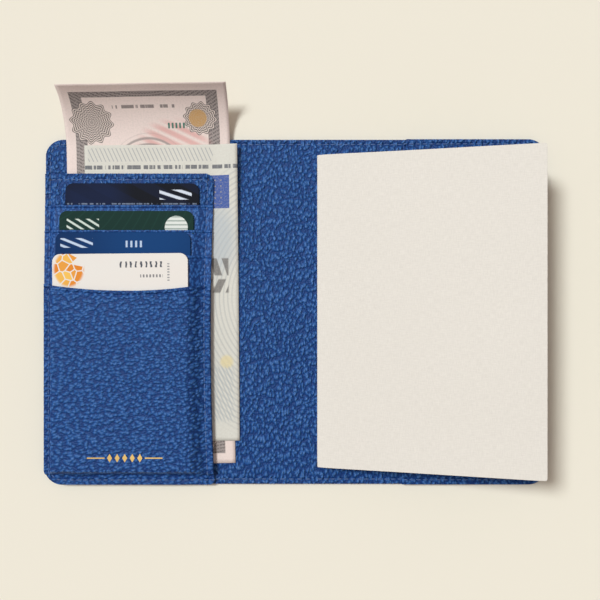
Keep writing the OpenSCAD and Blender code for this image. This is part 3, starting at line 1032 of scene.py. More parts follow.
@dataclass
class Sizes:
    """The frame's main sizes, read from the CAD nodes, in millimetres."""

    half_w: float = field(init=False)
    half_h: float = field(init=False)
    fold: float = field(init=False)
    leather: float = field(init=False)
    floor: float = field(init=False)
    corner: float = 7.0
    seam_in: float = 2.0
    seam_gap: float = 2.4

    def __post_init__(self) -> None:
        """Reads the sizes that the frame gives."""
        low, high = box_mm("outer_cover_right")
        self.half_w, self.half_h, self.leather = high[0], high[1], high[2]
        self.floor = box_mm("lining_right")[1][2]
        self.fold = joint("spine_fold")["pos_m"][0] / MM

    def from_edge(self, x: np.ndarray, y: np.ndarray) -> np.ndarray:
        """The distance from the open holder's outer edge.

        Args:
            x: Places across.
            y: Places along.

        Returns:
            Distances in millimetres, positive inside.
        """
        dx, dy = self.half_w - np.abs(x), self.half_h - np.abs(y)
        r = self.corner
        arc = r - np.hypot(np.maximum(r - dx, 0.0), np.maximum(r - dy, 0.0))
        return np.where((dx < r) & (dy < r), arc, np.minimum(dx, dy))

    def trough(self, x: np.ndarray, y: np.ndarray, depth: float) -> np.ndarray:
        """Returns how deep the edge seam pulls the leather down at each place."""
        return depth * np.exp(-(((self.from_edge(x, y) - self.seam_in) / 0.55) ** 2))

    def seam(self, side: int) -> list[Place]:
        """The edge seam's corners on one half.

        Args:
            side: -1 for the left half, 1 for the right.

        Returns:
            Places from the top of the fold round to its bottom.
        """
        x, y, r = self.half_w - self.seam_in, self.half_h - self.seam_in, self.corner - self.seam_in
        start = self.fold + self.seam_gap
        right = [(start, y), *rounded(x - r, y - r, r, 90, -90)]
        right += [*rounded(x - r, -y + r, r, 0, -90), (start, -y)]
        return [(side * px, py) for px, py in right]


def joint(name: str) -> dict:
    """Returns one of the frame's joints."""
    return next(j for j in frame["joints"] if j["name"] == name)


def stand_in(piece: bpy.types.Object, body: str, slot: str, *nodes: str) -> None:
    """Rides a piece on its body and hides the CAD nodes that it replaces.

    Args:
        piece: The piece.
        body: Body that it rides on.
        slot: Its colour slot, which is not used.
        *nodes: CAD nodes that it replaces.
    """
    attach(piece, body)
    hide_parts(*nodes)


@dataclass
class Cover:
    """The outer leather, the lining leather and the boards between them."""

    sizes: Sizes
    leather: bpy.types.Material
    lining_dip: float = 0.16
    bend: float = 2.6
    rim: float = 3.4

    def outer_under(self, x: np.ndarray, y: np.ndarray) -> np.ndarray:
        """Returns the height of the outer leather's face, which lies on the table."""
        return self.sizes.trough(x, y, 0.3)

    def lining_top(self, x: np.ndarray, y: np.ndarray) -> np.ndarray:
        """Returns the height of the lining's face."""
        s = self.sizes
        return s.floor - s.trough(x, y, 0.32) - self.lining_dip * waves(x, y, 34.0, 11)

    def lining_under(self, x: np.ndarray, y: np.ndarray) -> np.ndarray:
        """Returns the height of the lining's back: on the leather near the edge, on the board inside."""
        return self.sizes.leather + 0.01 + 0.3 * smooth((self.sizes.from_edge(x, y) - 3.1) / 0.7)

    def build(self) -> None:
        """Builds both halves of the outer leather and of the lining."""
        s = self.sizes
        for side, body in ((-1, "left_cover"), (1, "right_cover")):
            word = "left" if side < 0 else "right"
            x0, x1 = (-s.half_w, 0.0) if side < 0 else (0.0, s.half_w)
            corners = (s.corner, 0, 0, s.corner) if side < 0 else (0, s.corner, s.corner, 0)
            outline = Outline(x0, x1, -s.half_h, s.half_h, corners)
            fold = tuple(sorted((side * (s.fold - self.bend), side * (s.fold + self.bend))))
            rim = tuple(sorted((side * (s.half_w - self.rim), side * s.half_w)))
            edges = ((-s.half_h, -s.half_h + self.rim), (s.half_h - self.rim, s.half_h))
            shared = dict(open_left=side > 0, open_right=side < 0, fine_across=(fold, rim), fine_along=edges)
            outer = Sheet(
                f"outer_leather_{word}", outline, lambda x, y: np.full(x.shape, s.leather), s.leather,
                step=1.0, under=self.outer_under, map_shift=(400.0, 0.0), **shared,
            ).build(self.leather)
            lining = Sheet(
                f"lining_leather_{word}", outline, self.lining_top, s.floor - s.leather,
                step=1.0, under=self.lining_under, **shared,
            ).build(self.leather)
            for piece, node in ((outer, "outer_cover"), (lining, "lining")):
                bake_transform(piece)
                nodes = [f"{node}_{word}"] + ([f"{node}_spine"] if side < 0 else [])
                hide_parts(*nodes)


# ---- Card side ----------------------------------------------------------------------------------


@dataclass
class CardSide:
    """The card panel: its backing, three slot strips, the front pocket and their fabric."""

    sizes: Sizes
    cover: Cover
    leather: bpy.types.Material
    strip_leather: bpy.types.Material
    pocket_leather: bpy.types.Material
    fabric: bpy.types.Material
    foil: bpy.types.Material
    bow: float = 1.7
    pocket_t: float = 0.7
    strip_t: float = 0.4
    fabric_t: float = 0.18
    seam_in: float = 2.5
    mouth_dip: float = 2.8
    swelling: float = 0.06
    crease_depth: float = 0.5
    crease_width: float = 0.36
    tail_gap: float = 0.6
    tail_drop: float = 0.05

    def __post_init__(self) -> None:
        """Reads the layers' places from the frame."""
        low, high = box_mm("card_panel")
        self.edge, self.top = high[0], high[1]
        self.foot = low[1]
        s = self.sizes
        left_rise = (-s.half_w + 2.2, -s.half_w + 4.6)
        foot_rise = tuple(-s.half_h + fall for fall in PANEL_FALL)
        card_ends = [0.2 - box_mm(f"card_{i}")[1][0] for i in (1, 2, 3)]
        rises = [dict(left_rise=left_rise, right_rise=(-self.edge + 2.6, end)) for end in card_ends]
        panel_top = high[2]
        self.panel = Layer(
            middle=panel_top, left=low[2] + self.strip_t, foot=low[2] + self.strip_t,
            left_rise=left_rise, foot_rise=foot_rise,
        )
        self.mouths, self.strips, self.strip_feet = [], [], []
        for i in (1, 2, 3):
            low, high = box_mm(f"slot_strip_{i}")
            self.mouths.append(high[1])
            self.strip_feet.append(low[1])
            right = panel_top + i * self.strip_t
            self.strips.append(Layer(middle=high[2], left=low[2] + self.strip_t, right=right, **rises[i - 1]))
        strip_low = low[2]
        low, high = box_mm("front_pocket")
        self.mouth_end, self.pocket_top = high[1], high[2]
        self.pocket = Layer(
            middle=high[2], left=strip_low + self.strip_t + self.pocket_t,
            right=panel_top + 3 * self.strip_t + self.pocket_t, foot=low[2] + self.pocket_t,
            foot_rise=foot_rise, **rises[-1],
        )
        self.middle_x = (self.edge - s.half_w) / 2
        self.half_panel = (s.half_w + self.edge) / 2

    def warp(self, x: np.ndarray, y: np.ndarray) -> np.ndarray:
        """Moves the free right edge in a little, most at the middle of its height.

        Args:
            x: Places across.
            y: Places along.

        Returns:
            The new places across.
        """
        inward = self.bow * (1.0 - ((y + 7.0) / 66.0) ** 2)
        return x - np.maximum(inward, 0.0) * smooth((x + 62.0) / 28.0)

    def pocket_mouth(self, x: np.ndarray) -> np.ndarray:
        """Returns the height of the front pocket's dipping mouth at each x."""
        return self.mouth_end - self.mouth_dip * (1.0 - ((x - self.middle_x) / self.half_panel) ** 2)

    def edge_trough(self, x: np.ndarray, y: np.ndarray) -> np.ndarray:
        """Returns how deep the seams along the panel's edges pull the leather down."""
        free = 0.28 * np.exp(-(((self.edge - x - self.seam_in) / 0.5) ** 2))
        return free + self.sizes.trough(x, y, 0.3)

    def lip(self, below: np.ndarray, crease: float) -> np.ndarray:
        """The turned edge along a mouth: a low swelling, then a pressed line.

        Args:
            below: Distance below the mouth, in millimetres.
            crease: Distance of the pressed line below the mouth.

        Returns:
            The relief in millimetres.
        """
        swelling = self.swelling * smooth(1.0 - np.abs(below - crease * 0.45) / (crease * 0.6))
        return swelling - self.crease_depth * np.exp(-(((below - crease) / self.crease_width) ** 2))

    def wrinkles(self, x: np.ndarray, y: np.ndarray) -> np.ndarray:
        """Returns the small level folds where the front pocket turns down to its left seam."""
        drift = y + 0.9 * np.sin(x * 0.7) + 1.4 * waves(x, y, 14.0, 5)
        folds = 0.5 + 0.5 * np.sin(2 * math.pi * drift / 3.1 + 2.0 * waves(x, y, 22.0, 9))
        near = np.exp(-(((x + self.sizes.half_w - 5.0) / 4.2) ** 2))
        return -0.2 * folds * near * smooth((8.0 - y) / 8.0)

    def pocket_relief(self, x: np.ndarray, y: np.ndarray) -> np.ndarray:
        """Returns the front pocket's relief: mouth, seams, wrinkles and a soft unevenness."""
        below = self.pocket_mouth(x) - y
        card = 0.1 * smooth((x + 97.5) / 3.0) * smooth((-42.0 - x) / 2.5)
        soft = 0.16 * waves(x, y, 26.0, 3) + card
        return self.lip(below, 1.7) - self.edge_trough(x, y) + self.wrinkles(x, y) + soft

    def strip_relief(self, i: int) -> Height:
        """Returns the relief of one slot strip, numbered from 0 at the top."""
        mouth = self.mouths[i]

        def relief(x: np.ndarray, y: np.ndarray) -> np.ndarray:
            soft = 0.08 * (waves(x, y, 15.0, 20 + i) - 1.0)
            return self.lip(mouth - y, 1.3) - self.edge_trough(x, y) + soft

        return relief

    def panel_relief(self, x: np.ndarray, y: np.ndarray) -> np.ndarray:
        """Returns the relief of the bare panel above the slots."""
        along_top = 0.26 * np.exp(-(((self.top - y - self.seam_in) / 0.5) ** 2))
        return -self.edge_trough(x, y) - along_top + 0.06 * (waves(x, y, 18.0, 31) - 1.0)

    def surface(self, x: np.ndarray, y: np.ndarray) -> np.ndarray:
        """The height of whatever leather is uppermost on the left half.

        Args:
            x: Places across.
            y: Places along.

        Returns:
            Heights in millimetres.
        """
        z = self.cover.lining_top(x, y)
        inside = x < self.edge
        z = np.where(inside & (y < self.top), self.panel(x, y) + self.panel_relief(x, y), z)
        for i, layer in enumerate(self.strips):
            z = np.where(inside & (y < self.mouths[i]), layer(x, y) + self.strip_relief(i)(x, y), z)
        return np.where(inside & (y < self.pocket_mouth(x)), self.pocket(x, y) + self.pocket_relief(x, y), z)

    def leather_sheet(
        self, name: str, outline: Outline, layer: Layer, relief: Height, thickness: float, node: str,
        finish: bpy.types.Material | None = None, **extra: object,
    ) -> None:
        """Builds one leather layer of the panel.

        Args:
            name: Name of the piece.
            outline: Its outline.
            layer: The height of its top without relief.
            relief: What is added to that height.
            thickness: Thickness of the leather.
            node: CAD node that it stands for.
            finish: Its leather, if it is not the holder's common one.
            **extra: More fields of the sheet.
        """
        piece = Sheet(
            name, outline, lambda x, y: layer(x, y) + relief(x, y), thickness,
            under=lambda x, y: layer(x, y) - thickness, warp=self.warp, **extra,
        ).build(finish or self.leather)
        stand_in(piece, "left_cover", "leather", node)

    def build(self) -> None:
        """Builds the panel, its strips, pocket, fabric and ornament."""
        s = self.sizes
        left = -s.half_w
        panel = Outline(left, self.edge, self.foot, self.top, (s.corner, 2.0, 4.0, 0.0))
        sides = ((left, left + 3.2), (self.edge - 4.0, self.edge))
        self.leather_sheet(
            "card_panel_leather", panel, self.panel, self.panel_relief, self.strip_t, "card_panel",
            step=1.0, fine_across=sides, fine_along=((self.top - 4.0, self.top),),
        )
        for i, layer in enumerate(self.strips):
            outline = Outline(left, self.edge, self.strip_feet[i], self.mouths[i])
            self.leather_sheet(
                f"slot_leather_{i + 1}", outline, layer, self.strip_relief(i), self.strip_t,
                f"slot_strip_{i + 1}", finish=self.strip_leather, step=0.5, fine_across=sides,
                fine_along=((outline.y1 - 2.4, outline.y1),), map_shift=(37.0 * (i + 1), 61.0),
            )
        pocket = Outline(left, self.edge, self.foot, self.mouth_end, (s.corner, 2.0, 0.0, 0.0))
        self.leather_sheet(
            "front_pocket_leather", pocket, self.pocket, self.pocket_relief, self.pocket_t, "front_pocket",
            finish=self.pocket_leather, step=0.6, mouth=self.pocket_mouth, map_shift=(-30.0, 200.0),
            fine_across=sides, fine_along=((pocket.y1 - 3.0, pocket.y1), (self.foot, self.foot + 3.4)),
        )
        self.build_fabric(panel)
        self.build_ornament()

    def build_fabric(self, panel: Outline) -> None:
        """Builds the panel's fabric backing and the three slot tails.

        Args:
            panel: The panel's outline.
        """
        inset = 0.3
        inner = Outline(panel.x0 + inset, panel.x1 - inset, panel.y0 + inset, panel.y1 - inset, panel.corners)
        back = Sheet(
            "card_panel_fabric", inner, lambda x, y: self.panel(x, y) - self.strip_t - 0.01, self.fabric_t,
            step=2.0, warp=self.warp,
        ).build(self.fabric)
        stand_in(back, "left_cover", "fabric", "card_panel_lining")
        for i in (1, 2, 3):
            low, high = box_mm(f"slot_tail_{i}")
            card_edge = box_mm(f"card_{i}")[1][0]
            outline = Outline(low[0], min(high[0], card_edge - self.tail_gap), low[1], high[1])
            tail = Sheet(
                f"slot_fabric_{i}", outline, lambda x, y, z=high[2]: np.full(x.shape, z - self.tail_drop),
                self.fabric_t, step=2.0, warp=self.warp,
            ).build(self.fabric)
            stand_in(tail, "left_cover", "fabric", f"slot_tail_{i}")

    def build_ornament(self) -> None:
        """Presses a row of lozenges between two bars into the front pocket."""
        low, high = box_mm("foil_ornament")
        cx, cy = (low[0] + high[0]) / 2, (low[1] + high[1]) / 2
        tall = (high[1] - low[1]) / 2
        shapes = []
        for x in range(-6, 7, 3):
            a, m, b = cx + x - 1.0, cx + x, cx + x + 1.0
            shapes.append([(a, cy), (m, cy - tall), (b, cy), (m, cy + tall)])
        bar = 0.25
        for side in (-1, 1):
            for x in np.arange(8.0, 15.0, 1.0):
                a, b = sorted((cx + side * x, cx + side * (x + 1.0)))
                shapes.append([(a, cy - bar), (b, cy - bar), (b, cy + bar), (a, cy + bar)])
        verts, faces, flat = [], [], []
        for shape in shapes:
            n = len(verts)
            for lift in (0.03, -0.15):
                for x, y in shape:
                    z = float(self.surface(np.array(x), np.array(y))) + lift
                    verts.append((x, y, z))
                    flat.append((x, y))
            faces += [(n, n + 1, n + 2, n + 3), (n + 7, n + 6, n + 5, n + 4)]
            faces += [(n + i, n + 4 + i, n + 4 + (i + 1) % 4, n + (i + 1) % 4) for i in range(4)]
        piece = make_object("pressed_ornament", np.array(verts), faces, self.foil)
        piece.data.shade_flat()
        lay_flat_map(piece, np.array(flat))
        stand_in(piece, "left_cover", "foil", "foil_ornament")


# ---- Loose pieces on the card side --------------------------------------------------------------


@dataclass
class Cards:
    """The four plastic cards in their slots."""

    tilts: tuple[float, float, float, float] = (0.0, 0.0, 0.0, 0.5)
    slots: tuple[str, str, str, str] = ("card_dark", "card_green", "card_blue", "card_white")
    width: float = 53.98
    length: float = 85.6
    corner: float = 3.18
    bevel: float = 0.1

    def build(self) -> None:
        """Builds each card with a softened rim."""
        for i, tilt in enumerate(self.tilts, start=1):
            low, high = box_mm(f"card_{i}")
            w, h, r = self.width / 2, self.length / 2, self.corner
            rings, rim = [], self.bevel
            levels = ((rim, low[2]), (0, low[2] + rim), (0, high[2] - rim), (rim, high[2]))
            for inset, z in levels:
                ring = []
                for sx, sy, start in ((1, 1, 0), (-1, 1, 90), (-1, -1, 180), (1, -1, 270)):
                    ring += rounded(sx * (w - r), sy * (h - r), r - inset, start, 90, 8)
                rings.append([(x, y, z) for x, y in ring])
            count = len(rings[0])
            local = np.array([p for ring in rings for p in ring])
            faces = [list(range(count))[::-1], [3 * count + j for j in range(count)]]
            for k in range(3):
                for j in range(count):
                    a, b = k * count + j, k * count + (j + 1) % count
                    faces.append([a, b, b + count, a + count])
            angle = math.radians(tilt)
            turn = np.array([[math.cos(angle), -math.sin(angle)], [math.sin(angle), math.cos(angle)]])
            verts = local.copy()
            verts[:, :2] = local[:, :2] @ turn.T + (low[:2] + high[:2]) / 2
            material = PrintedCard(CardFace(i), self.width, self.length).build()
            piece = make_object(f"printed_card_{i}", verts, faces, material)
            piece.data.shade_flat()
            lay_flat_map(piece, local[:, :2] + (w, h))
            stand_in(piece, f"card_{i}_body", self.slots[i - 1], f"card_{i}")


@dataclass
class Banknote:
    """One banknote: flat in its compartment, with its free end bent up."""

    node: str
    body: str
    slot: str
    face: NoteFace
    width: float
    length: float
    tilt: float
    bend_radius: float
    bend_length: float
    seed: int
    edge_lift: float = 0.0
    thickness: float = 0.11

    def build(self) -> None:
        """Builds the note."""
        low, high = box_mm(self.node)
        angle = math.radians(self.tilt)
        start = self.length - self.bend_length
        bent = self.length - self.bend_length * np.linspace(1, 0, 30)[1:]
        across, along = np.linspace(0.0, self.width, 45), np.concatenate([np.linspace(0.0, start, 70), bent])
        u, v = np.meshgrid(across, along, indexing="ij")
        past = np.clip(v - start, 0.0, None) / self.bend_radius
        y = np.minimum(v, start) + self.bend_radius * np.sin(past)
        free = smooth((v - start + 2.0) / 14.0) * min(1.0, self.bend_length / 27.0)
        ripple = 0.5 * free * (waves(u, v, 30.0, self.seed) - 0.2)
        lift = self.edge_lift * smooth((u - self.width + 11.0) / 11.0) * smooth((v - 62.0) / 50.0)
        rise = self.bend_radius * (1.0 - np.cos(past))
        z = low[2] + self.thickness + 0.02 + rise + np.maximum(ripple, 0.0) + lift
        local_x = u - self.width
        x_turned = local_x * math.cos(angle) - y * math.sin(angle)
        y_turned = local_x * math.sin(angle) + y * math.cos(angle)
        x_shift, y_shift = high[0] - x_turned.max(), low[1] - y_turned.min()
        top = np.stack([x_turned + x_shift, y_turned + y_shift, z], axis=-1).reshape(-1, 3)
        normal = np.stack([0 * past, -np.sin(past), np.cos(past)], axis=-1).reshape(-1, 3)
        verts = np.concatenate([top, top - normal * self.thickness])
        material = PrintedNote(self.face, self.width, self.length).build()
        piece = make_object(f"{self.node}_paper", verts, grid_faces(*u.shape), material)
        flat = np.stack([u, v], axis=-1).reshape(-1, 2)
        lay_flat_map(piece, np.concatenate([flat, flat]))
        stand_in(piece, self.body, self.slot, self.node)


# ---- Passport side ------------------------------------------------------------------------------


@dataclass
class PassportPocket:
    """The pocket that holds the booklet's back cover."""

    sizes: Sizes
    cover: Cover
    leather: bpy.types.Material
    fabric: bpy.types.Material
    thickness: float = 0.8
    slant: float = 0.85

    def __post_init__(self) -> None:
        """Reads the pocket's place from the frame."""
        low, high = box_mm("passport_pocket")
        self.mouth, s = low[0], self.sizes
        x, y = s.half_w - 3.0, s.half_h - 4.2
        sides = dict(right_rise=(-x, -x + 1.5), foot_rise=(-y, -y + 1.6), head_rise=(-y, -y + 1.6))
        low_z = low[2] + self.thickness
        self.layer = Layer(middle=high[2], right=low_z, foot=low_z, head=low_z, **sides)

    def warp(self, x: np.ndarray, y: np.ndarray) -> np.ndarray:
        """Returns places across with the mouth slanted a little from top to bottom."""
        return x + self.slant * y / self.sizes.half_h * smooth((self.sizes.half_w - x) / 50.0)

    def relief(self, x: np.ndarray, y: np.ndarray) -> np.ndarray:
        """Returns the pocket's relief: its turned mouth, its seam and a soft unevenness."""
        inside = x - self.mouth
        swelling = 0.06 * smooth(1.0 - np.abs(inside - 0.8) / 1.2)
        crease = 0.16 * np.exp(-(((inside - 1.9) / 0.35) ** 2))
        return swelling - crease - self.sizes.trough(x, y, 0.32) - 0.1 * waves(x, y, 30.0, 41)

    def surface(self, x: np.ndarray, y: np.ndarray) -> np.ndarray:
        """Returns the height of whatever leather is uppermost on the right half."""
        pocket = self.layer(x, y) + self.relief(x, y)
        return np.where(x > self.mouth, pocket, self.cover.lining_top(x, y))

    def build(self) -> None:
        """Builds the pocket's leather and its fabric."""
        s = self.sizes
        outline = Outline(self.mouth, s.half_w, -s.half_h, s.half_h, (0.0, s.corner, s.corner, 0.0))
        leather = Sheet(
            "passport_pocket_leather", outline, lambda x, y: self.layer(x, y) + self.relief(x, y),
            self.thickness, step=0.8, under=lambda x, y: self.layer(x, y) - self.thickness, warp=self.warp,
            map_shift=(90.0, -300.0),
            fine_across=((self.mouth, self.mouth + 3.0), (s.half_w - 3.4, s.half_w)),
            fine_along=((-s.half_h, -s.half_h + 3.4), (s.half_h - 3.4, s.half_h)),
        ).build(self.leather)
        inner = Outline(self.mouth + 0.4, s.half_w - 0.3, -s.half_h + 0.3, s.half_h - 0.3, outline.corners)
        fabric = Sheet(
            "passport_pocket_fabric", inner, lambda x, y: self.layer(x, y) - self.thickness - 0.01, 0.18,
            step=2.0, warp=self.warp,
        ).build(self.fabric)
        stand_in(leather, "right_cover", "leather", "passport_pocket")
        stand_in(fabric, "right_cover", "fabric", "passport_pocket_lining")


@dataclass
class Booklet:
    """The passport booklet: a wrapped cover round groups of leaves that fan open."""

    cover_paper: bpy.types.Material
    leaf_paper: bpy.types.Material
    lift: float = field(init=False)
    sheets_in_group: int = 4
    bulge: float = 0.16
    bulge_length: float = 8.0
    corner: float = 0.9
    cover_t: float = 0.42
    cover_level: float = 1.85
    cover_bend: float = 2.4
    group_t: float = 0.45
    leaf_t: float = 0.07
    leaf_pitch: float = 0.088
    leaf_inset: float = 1.2
    wave_seed: int = 80

    def __post_init__(self) -> None:
        """Reads the booklet's back, height and fan from the frame."""
        fan = joint("leaves_4_fan")
        self.hinge_x, self.fan_z = fan["pos_m"][0] / MM, fan["pos_m"][2] / MM
        self.lift = fan["range_deg"][1]
        low, high = box_mm("passport_back_cover")
        self.low, self.high = low, high
        self.spine = box_mm("passport_spine")

    def turned(self, x: np.ndarray, z: np.ndarray, degrees: float) -> tuple[np.ndarray, np.ndarray]:
        """Turns places that lie flat up about the booklet's back.

        Args:
            x: Places across, lying flat.
            z: Heights, lying flat.
            degrees: Angle of the turn.

        Returns:
            The turned places across and heights.
        """
        a = math.radians(degrees)
        dx, dz = x - self.hinge_x, z - self.fan_z
        across = self.hinge_x + dx * math.cos(a) - dz * math.sin(a)
        return across, self.fan_z + dx * math.sin(a) + dz * math.cos(a)

    def bow(self, x: np.ndarray, share: float) -> np.ndarray:
        """Returns how far a leaf stands proud of its flat plane near the back."""
        far = np.maximum(x - self.hinge_x, 0.0)
        return share * self.bulge * far * np.exp(-far / self.bulge_length)

    def leaf(
        self, x1: float, y: Place, z: float, thickness: float, degrees: float
    ) -> tuple[np.ndarray, list, np.ndarray]:
        """One leaf or cover as a closed thin sheet. All have the same waviness, so none meets the next.

        Args:
            x1: Its free edge, lying flat.
            y: Its lower and upper edge.
            z: Height of its underside, lying flat.
            thickness: Its thickness.
            degrees: Angle at which it stands.

        Returns:
            Its corners, its faces and its flat places.
        """
        outline = Outline(self.hinge_x + 0.3, x1, y[0], y[1], (0.0, self.corner, self.corner, 0.0))
        across = spaced(outline.x0, x1, 3.0, ((outline.x0, outline.x0 + 8.0),))
        low, high = outline.ends(across)
        share = (spaced(y[0], y[1], 4.0) - y[0]) / (y[1] - y[0])
        x = np.repeat(across[:, None], len(share), axis=1)
        v = low[:, None] + (high - low)[:, None] * share
        wave = 0.3 * (waves(x, v, 90.0, self.wave_seed, 4) - 0.5) * smooth((x - self.hinge_x) / 60.0)
        base = z + self.bow(x, degrees / self.lift) + wave * degrees / self.lift
        parts = []
        for height in (base + thickness, base):
            px, pz = self.turned(x, height, degrees)
            parts.append(np.stack([px, v, pz], axis=-1).reshape(-1, 3))
        flat = np.stack([x, v], axis=-1).reshape(-1, 2)
        return np.concatenate(parts), grid_faces(*x.shape), np.concatenate([flat, flat])

    def build(self) -> None:
        """Builds the cover's three parts and the four groups of leaves."""
        self.build_front()
        self.build_back()
        for i in range(1, 5):
            self.build_leaves(i)

    def build_front(self) -> None:
        """Builds the front cover, which bends beside the back."""
        verts, faces, flat = self.leaf(
            self.high[0], (self.low[1], self.high[1]), self.fan_z + self.cover_level, self.cover_t, self.lift
        )
        piece = make_object("booklet_front_cover", verts, faces, self.cover_paper)
        lay_flat_map(piece, flat)
        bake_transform(piece)
        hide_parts("passport_front_cover")

    def build_back(self) -> None:
        """Builds the back cover in the pocket and the wrapped back that joins the two covers."""
        low, high = self.low, self.high
        outline = Outline(self.hinge_x, high[0], low[1], high[1], (0.0, self.corner, self.corner, 0.0))
        back = Sheet(
            "booklet_back_cover", outline, lambda x, y: np.full(x.shape, high[2] - 0.02),
            high[2] - low[2] - 0.04, step=3.0,
        ).build(self.cover_paper)
        stand_in(back, "passport", "booklet_cover", "passport_back_cover")
        middle = self.cover_level + self.cover_t / 2
        x, z = self.turned(np.array([self.hinge_x + 0.6]), np.array([self.fan_z + middle]), self.lift)
        near_pocket = ((0.5, 0.25), (-0.05, 0.32), (-0.22, 0.75))
        near_leaves = ((-0.24, -0.4), (-0.3, 0.7), (-0.42, 1.45), (-0.36, 1.85))
        path = [(self.hinge_x + dx, low[2] + dz) for dx, dz in near_pocket]
        path += [(self.hinge_x + dx, self.fan_z + dz) for dx, dz in near_leaves]
        line = np.array([*path, (float(x[0]), float(z[0]))])
        at = np.linspace(0, len(line) - 1, 40)
        curve = np.stack([np.interp(at, np.arange(len(line)), line[:, k]) for k in (0, 1)], axis=-1)
        for _ in range(4):
            curve[1:-1] = (curve[:-2] + 2 * curve[1:-1] + curve[2:]) / 4
        along = np.gradient(curve, axis=0)
        along /= np.linalg.norm(along, axis=1, keepdims=True)
        out = np.stack([-along[:, 1], along[:, 0]], axis=-1)
        rows = np.linspace(low[1] + 0.02, high[1] - 0.02, 30)
        sides = []
        for offset in (0.2, -0.2):
            edge = curve + out * offset
            grid = np.repeat(edge[:, None, :], len(rows), axis=1)
            y = np.broadcast_to(rows, grid.shape[:2])
            sides.append(np.stack([grid[..., 0], y, grid[..., 1]], axis=-1).reshape(-1, 3))
        faces = grid_faces(len(curve), len(rows))
        piece = make_object("booklet_wrapped_back", np.concatenate(sides), faces, self.cover_paper)
        spread = np.repeat(np.linspace(-6.0, 0.0, len(curve))[:, None], len(rows), axis=1)
        flat = np.stack([spread, np.broadcast_to(rows, spread.shape)], axis=-1).reshape(-1, 2)
        lay_flat_map(piece, np.concatenate([flat, flat]))
        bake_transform(piece)
        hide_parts("passport_spine")

    def build_leaves(self, group: int) -> None:
        """Builds one group of leaves.

        Args:
            group: Its number, counted from the pocket.
        """
        inset = self.leaf_inset
        verts, faces, flat, count = [], [], [], 0
        base = self.fan_z + 0.05 + (group - 1) * self.group_t
        for k in range(self.sheets_in_group):
            trim = 0.12 * k
            points, quads, places = self.leaf(
                self.high[0] - inset - trim, (self.low[1] + inset, self.high[1] - inset),
                base + k * self.leaf_pitch, self.leaf_t, self.lift * group / 4,
            )
            verts.append(points)
            flat.append(places)
            faces += [[corner + count for corner in quad] for quad in quads]
            count += len(points)
        piece = make_object(f"booklet_leaves_{group}", np.concatenate(verts), faces, self.leaf_paper)
        lay_flat_map(piece, np.concatenate(flat))
        stand_in(piece, f"leaves_{group}", "booklet_pages", f"passport_pages_{group}")


# ---- Seams --------------------------------------------------------------------------------------


@dataclass
class Seams:
    """Every row of stitches, sewn by Geometry Nodes."""

    sizes: Sizes
    cards: CardSide
    pocket: PassportPocket
    thread: bpy.types.Material
    pitch: float = 2.7
    length: float = 2.1
    width: float = 0.56
    cross_width: float = 0.12
    proud: float = 0.12
    panel_proud: float = 0.04
    panel_corner: float = 2.6

    def underside(self, x: np.ndarray, y: np.ndarray) -> np.ndarray:
        """Returns the height of the stitches' middle on the outer face."""
        return np.full(np.shape(x), self.width / 2 + 0.02)

    def sew(self, name: str, body: str, node: str, lines: list[np.ndarray], width: float) -> None:
        """Sews one piece and rides it on its body.

        Args:
            name: Name of the piece.
            body: Body that it rides on.
            node: CAD node that it replaces.
            lines: Its seams, in millimetres.
            width: Thickness of the thread.
        """
        piece = self.row.sew(name, lines, self.pitch, self.length, width)
        stand_in(piece, body, "thread", node)

    def build(self) -> None:
        """Sews the edge seam on both faces, the panel's own seam and the slots' cross seams."""
        self.row = StitchRow(self.thread)
        s, c = self.sizes, self.cards
        left = self.both_faces(s.seam(-1), c.surface)
        right = self.both_faces(s.seam(1), self.pocket.surface)
        self.sew("edge_stitches_left", "left_cover", "perimeter_thread_left", left, self.width)
        self.sew("edge_stitches_right", "right_cover", "perimeter_thread_right", right, self.width)
        reach, y = s.fold - s.seam_gap, s.half_h - s.seam_in
        spine = []
        for side in (-1, 1):
            spine += self.both_faces([(-reach, side * y), (reach, side * y)], c.cover.lining_top)
        self.sew("edge_stitches_spine", "spine", "perimeter_thread_spine", spine, self.width)
        x, top, r = c.edge - c.seam_in, c.top - c.seam_in, self.panel_corner
        outline = [(-s.half_w + 3.6, top), *rounded(x - r, top - r, r, 90, -90)]
        outline += [(x, v) for v in np.arange(top - r - 4, -s.half_h + 4.0, -4.0)]
        line = follow(outline, c.surface, self.panel_proud)
        line[:, 0] = c.warp(line[:, 0], line[:, 1])
        self.sew("panel_stitches", "left_cover", "panel_edge_thread", [line], self.width)
        crosses = []
        for i in (1, 2, 3):
            low, high = box_mm(f"slot_tail_{i}")
            foot = [(low[0] + 1, low[1] + 0.5), (high[0] - 1, low[1] + 0.5)]
            crosses.append(follow(foot, lambda a, b, z=high[2] + 0.02: np.full(np.shape(a), z)))
        self.sew("slot_cross_stitches", "left_cover", "slot_tail_thread", crosses, self.cross_width)

    def both_faces(self, corners: list[Place], surface: Height) -> list[np.ndarray]:
        """Returns one seam's lines on the inner and on the outer face."""
        return [follow(corners, surface, self.proud), follow(corners, self.underside)]


# ---- Studio -------------------------------------------------------------------------------------


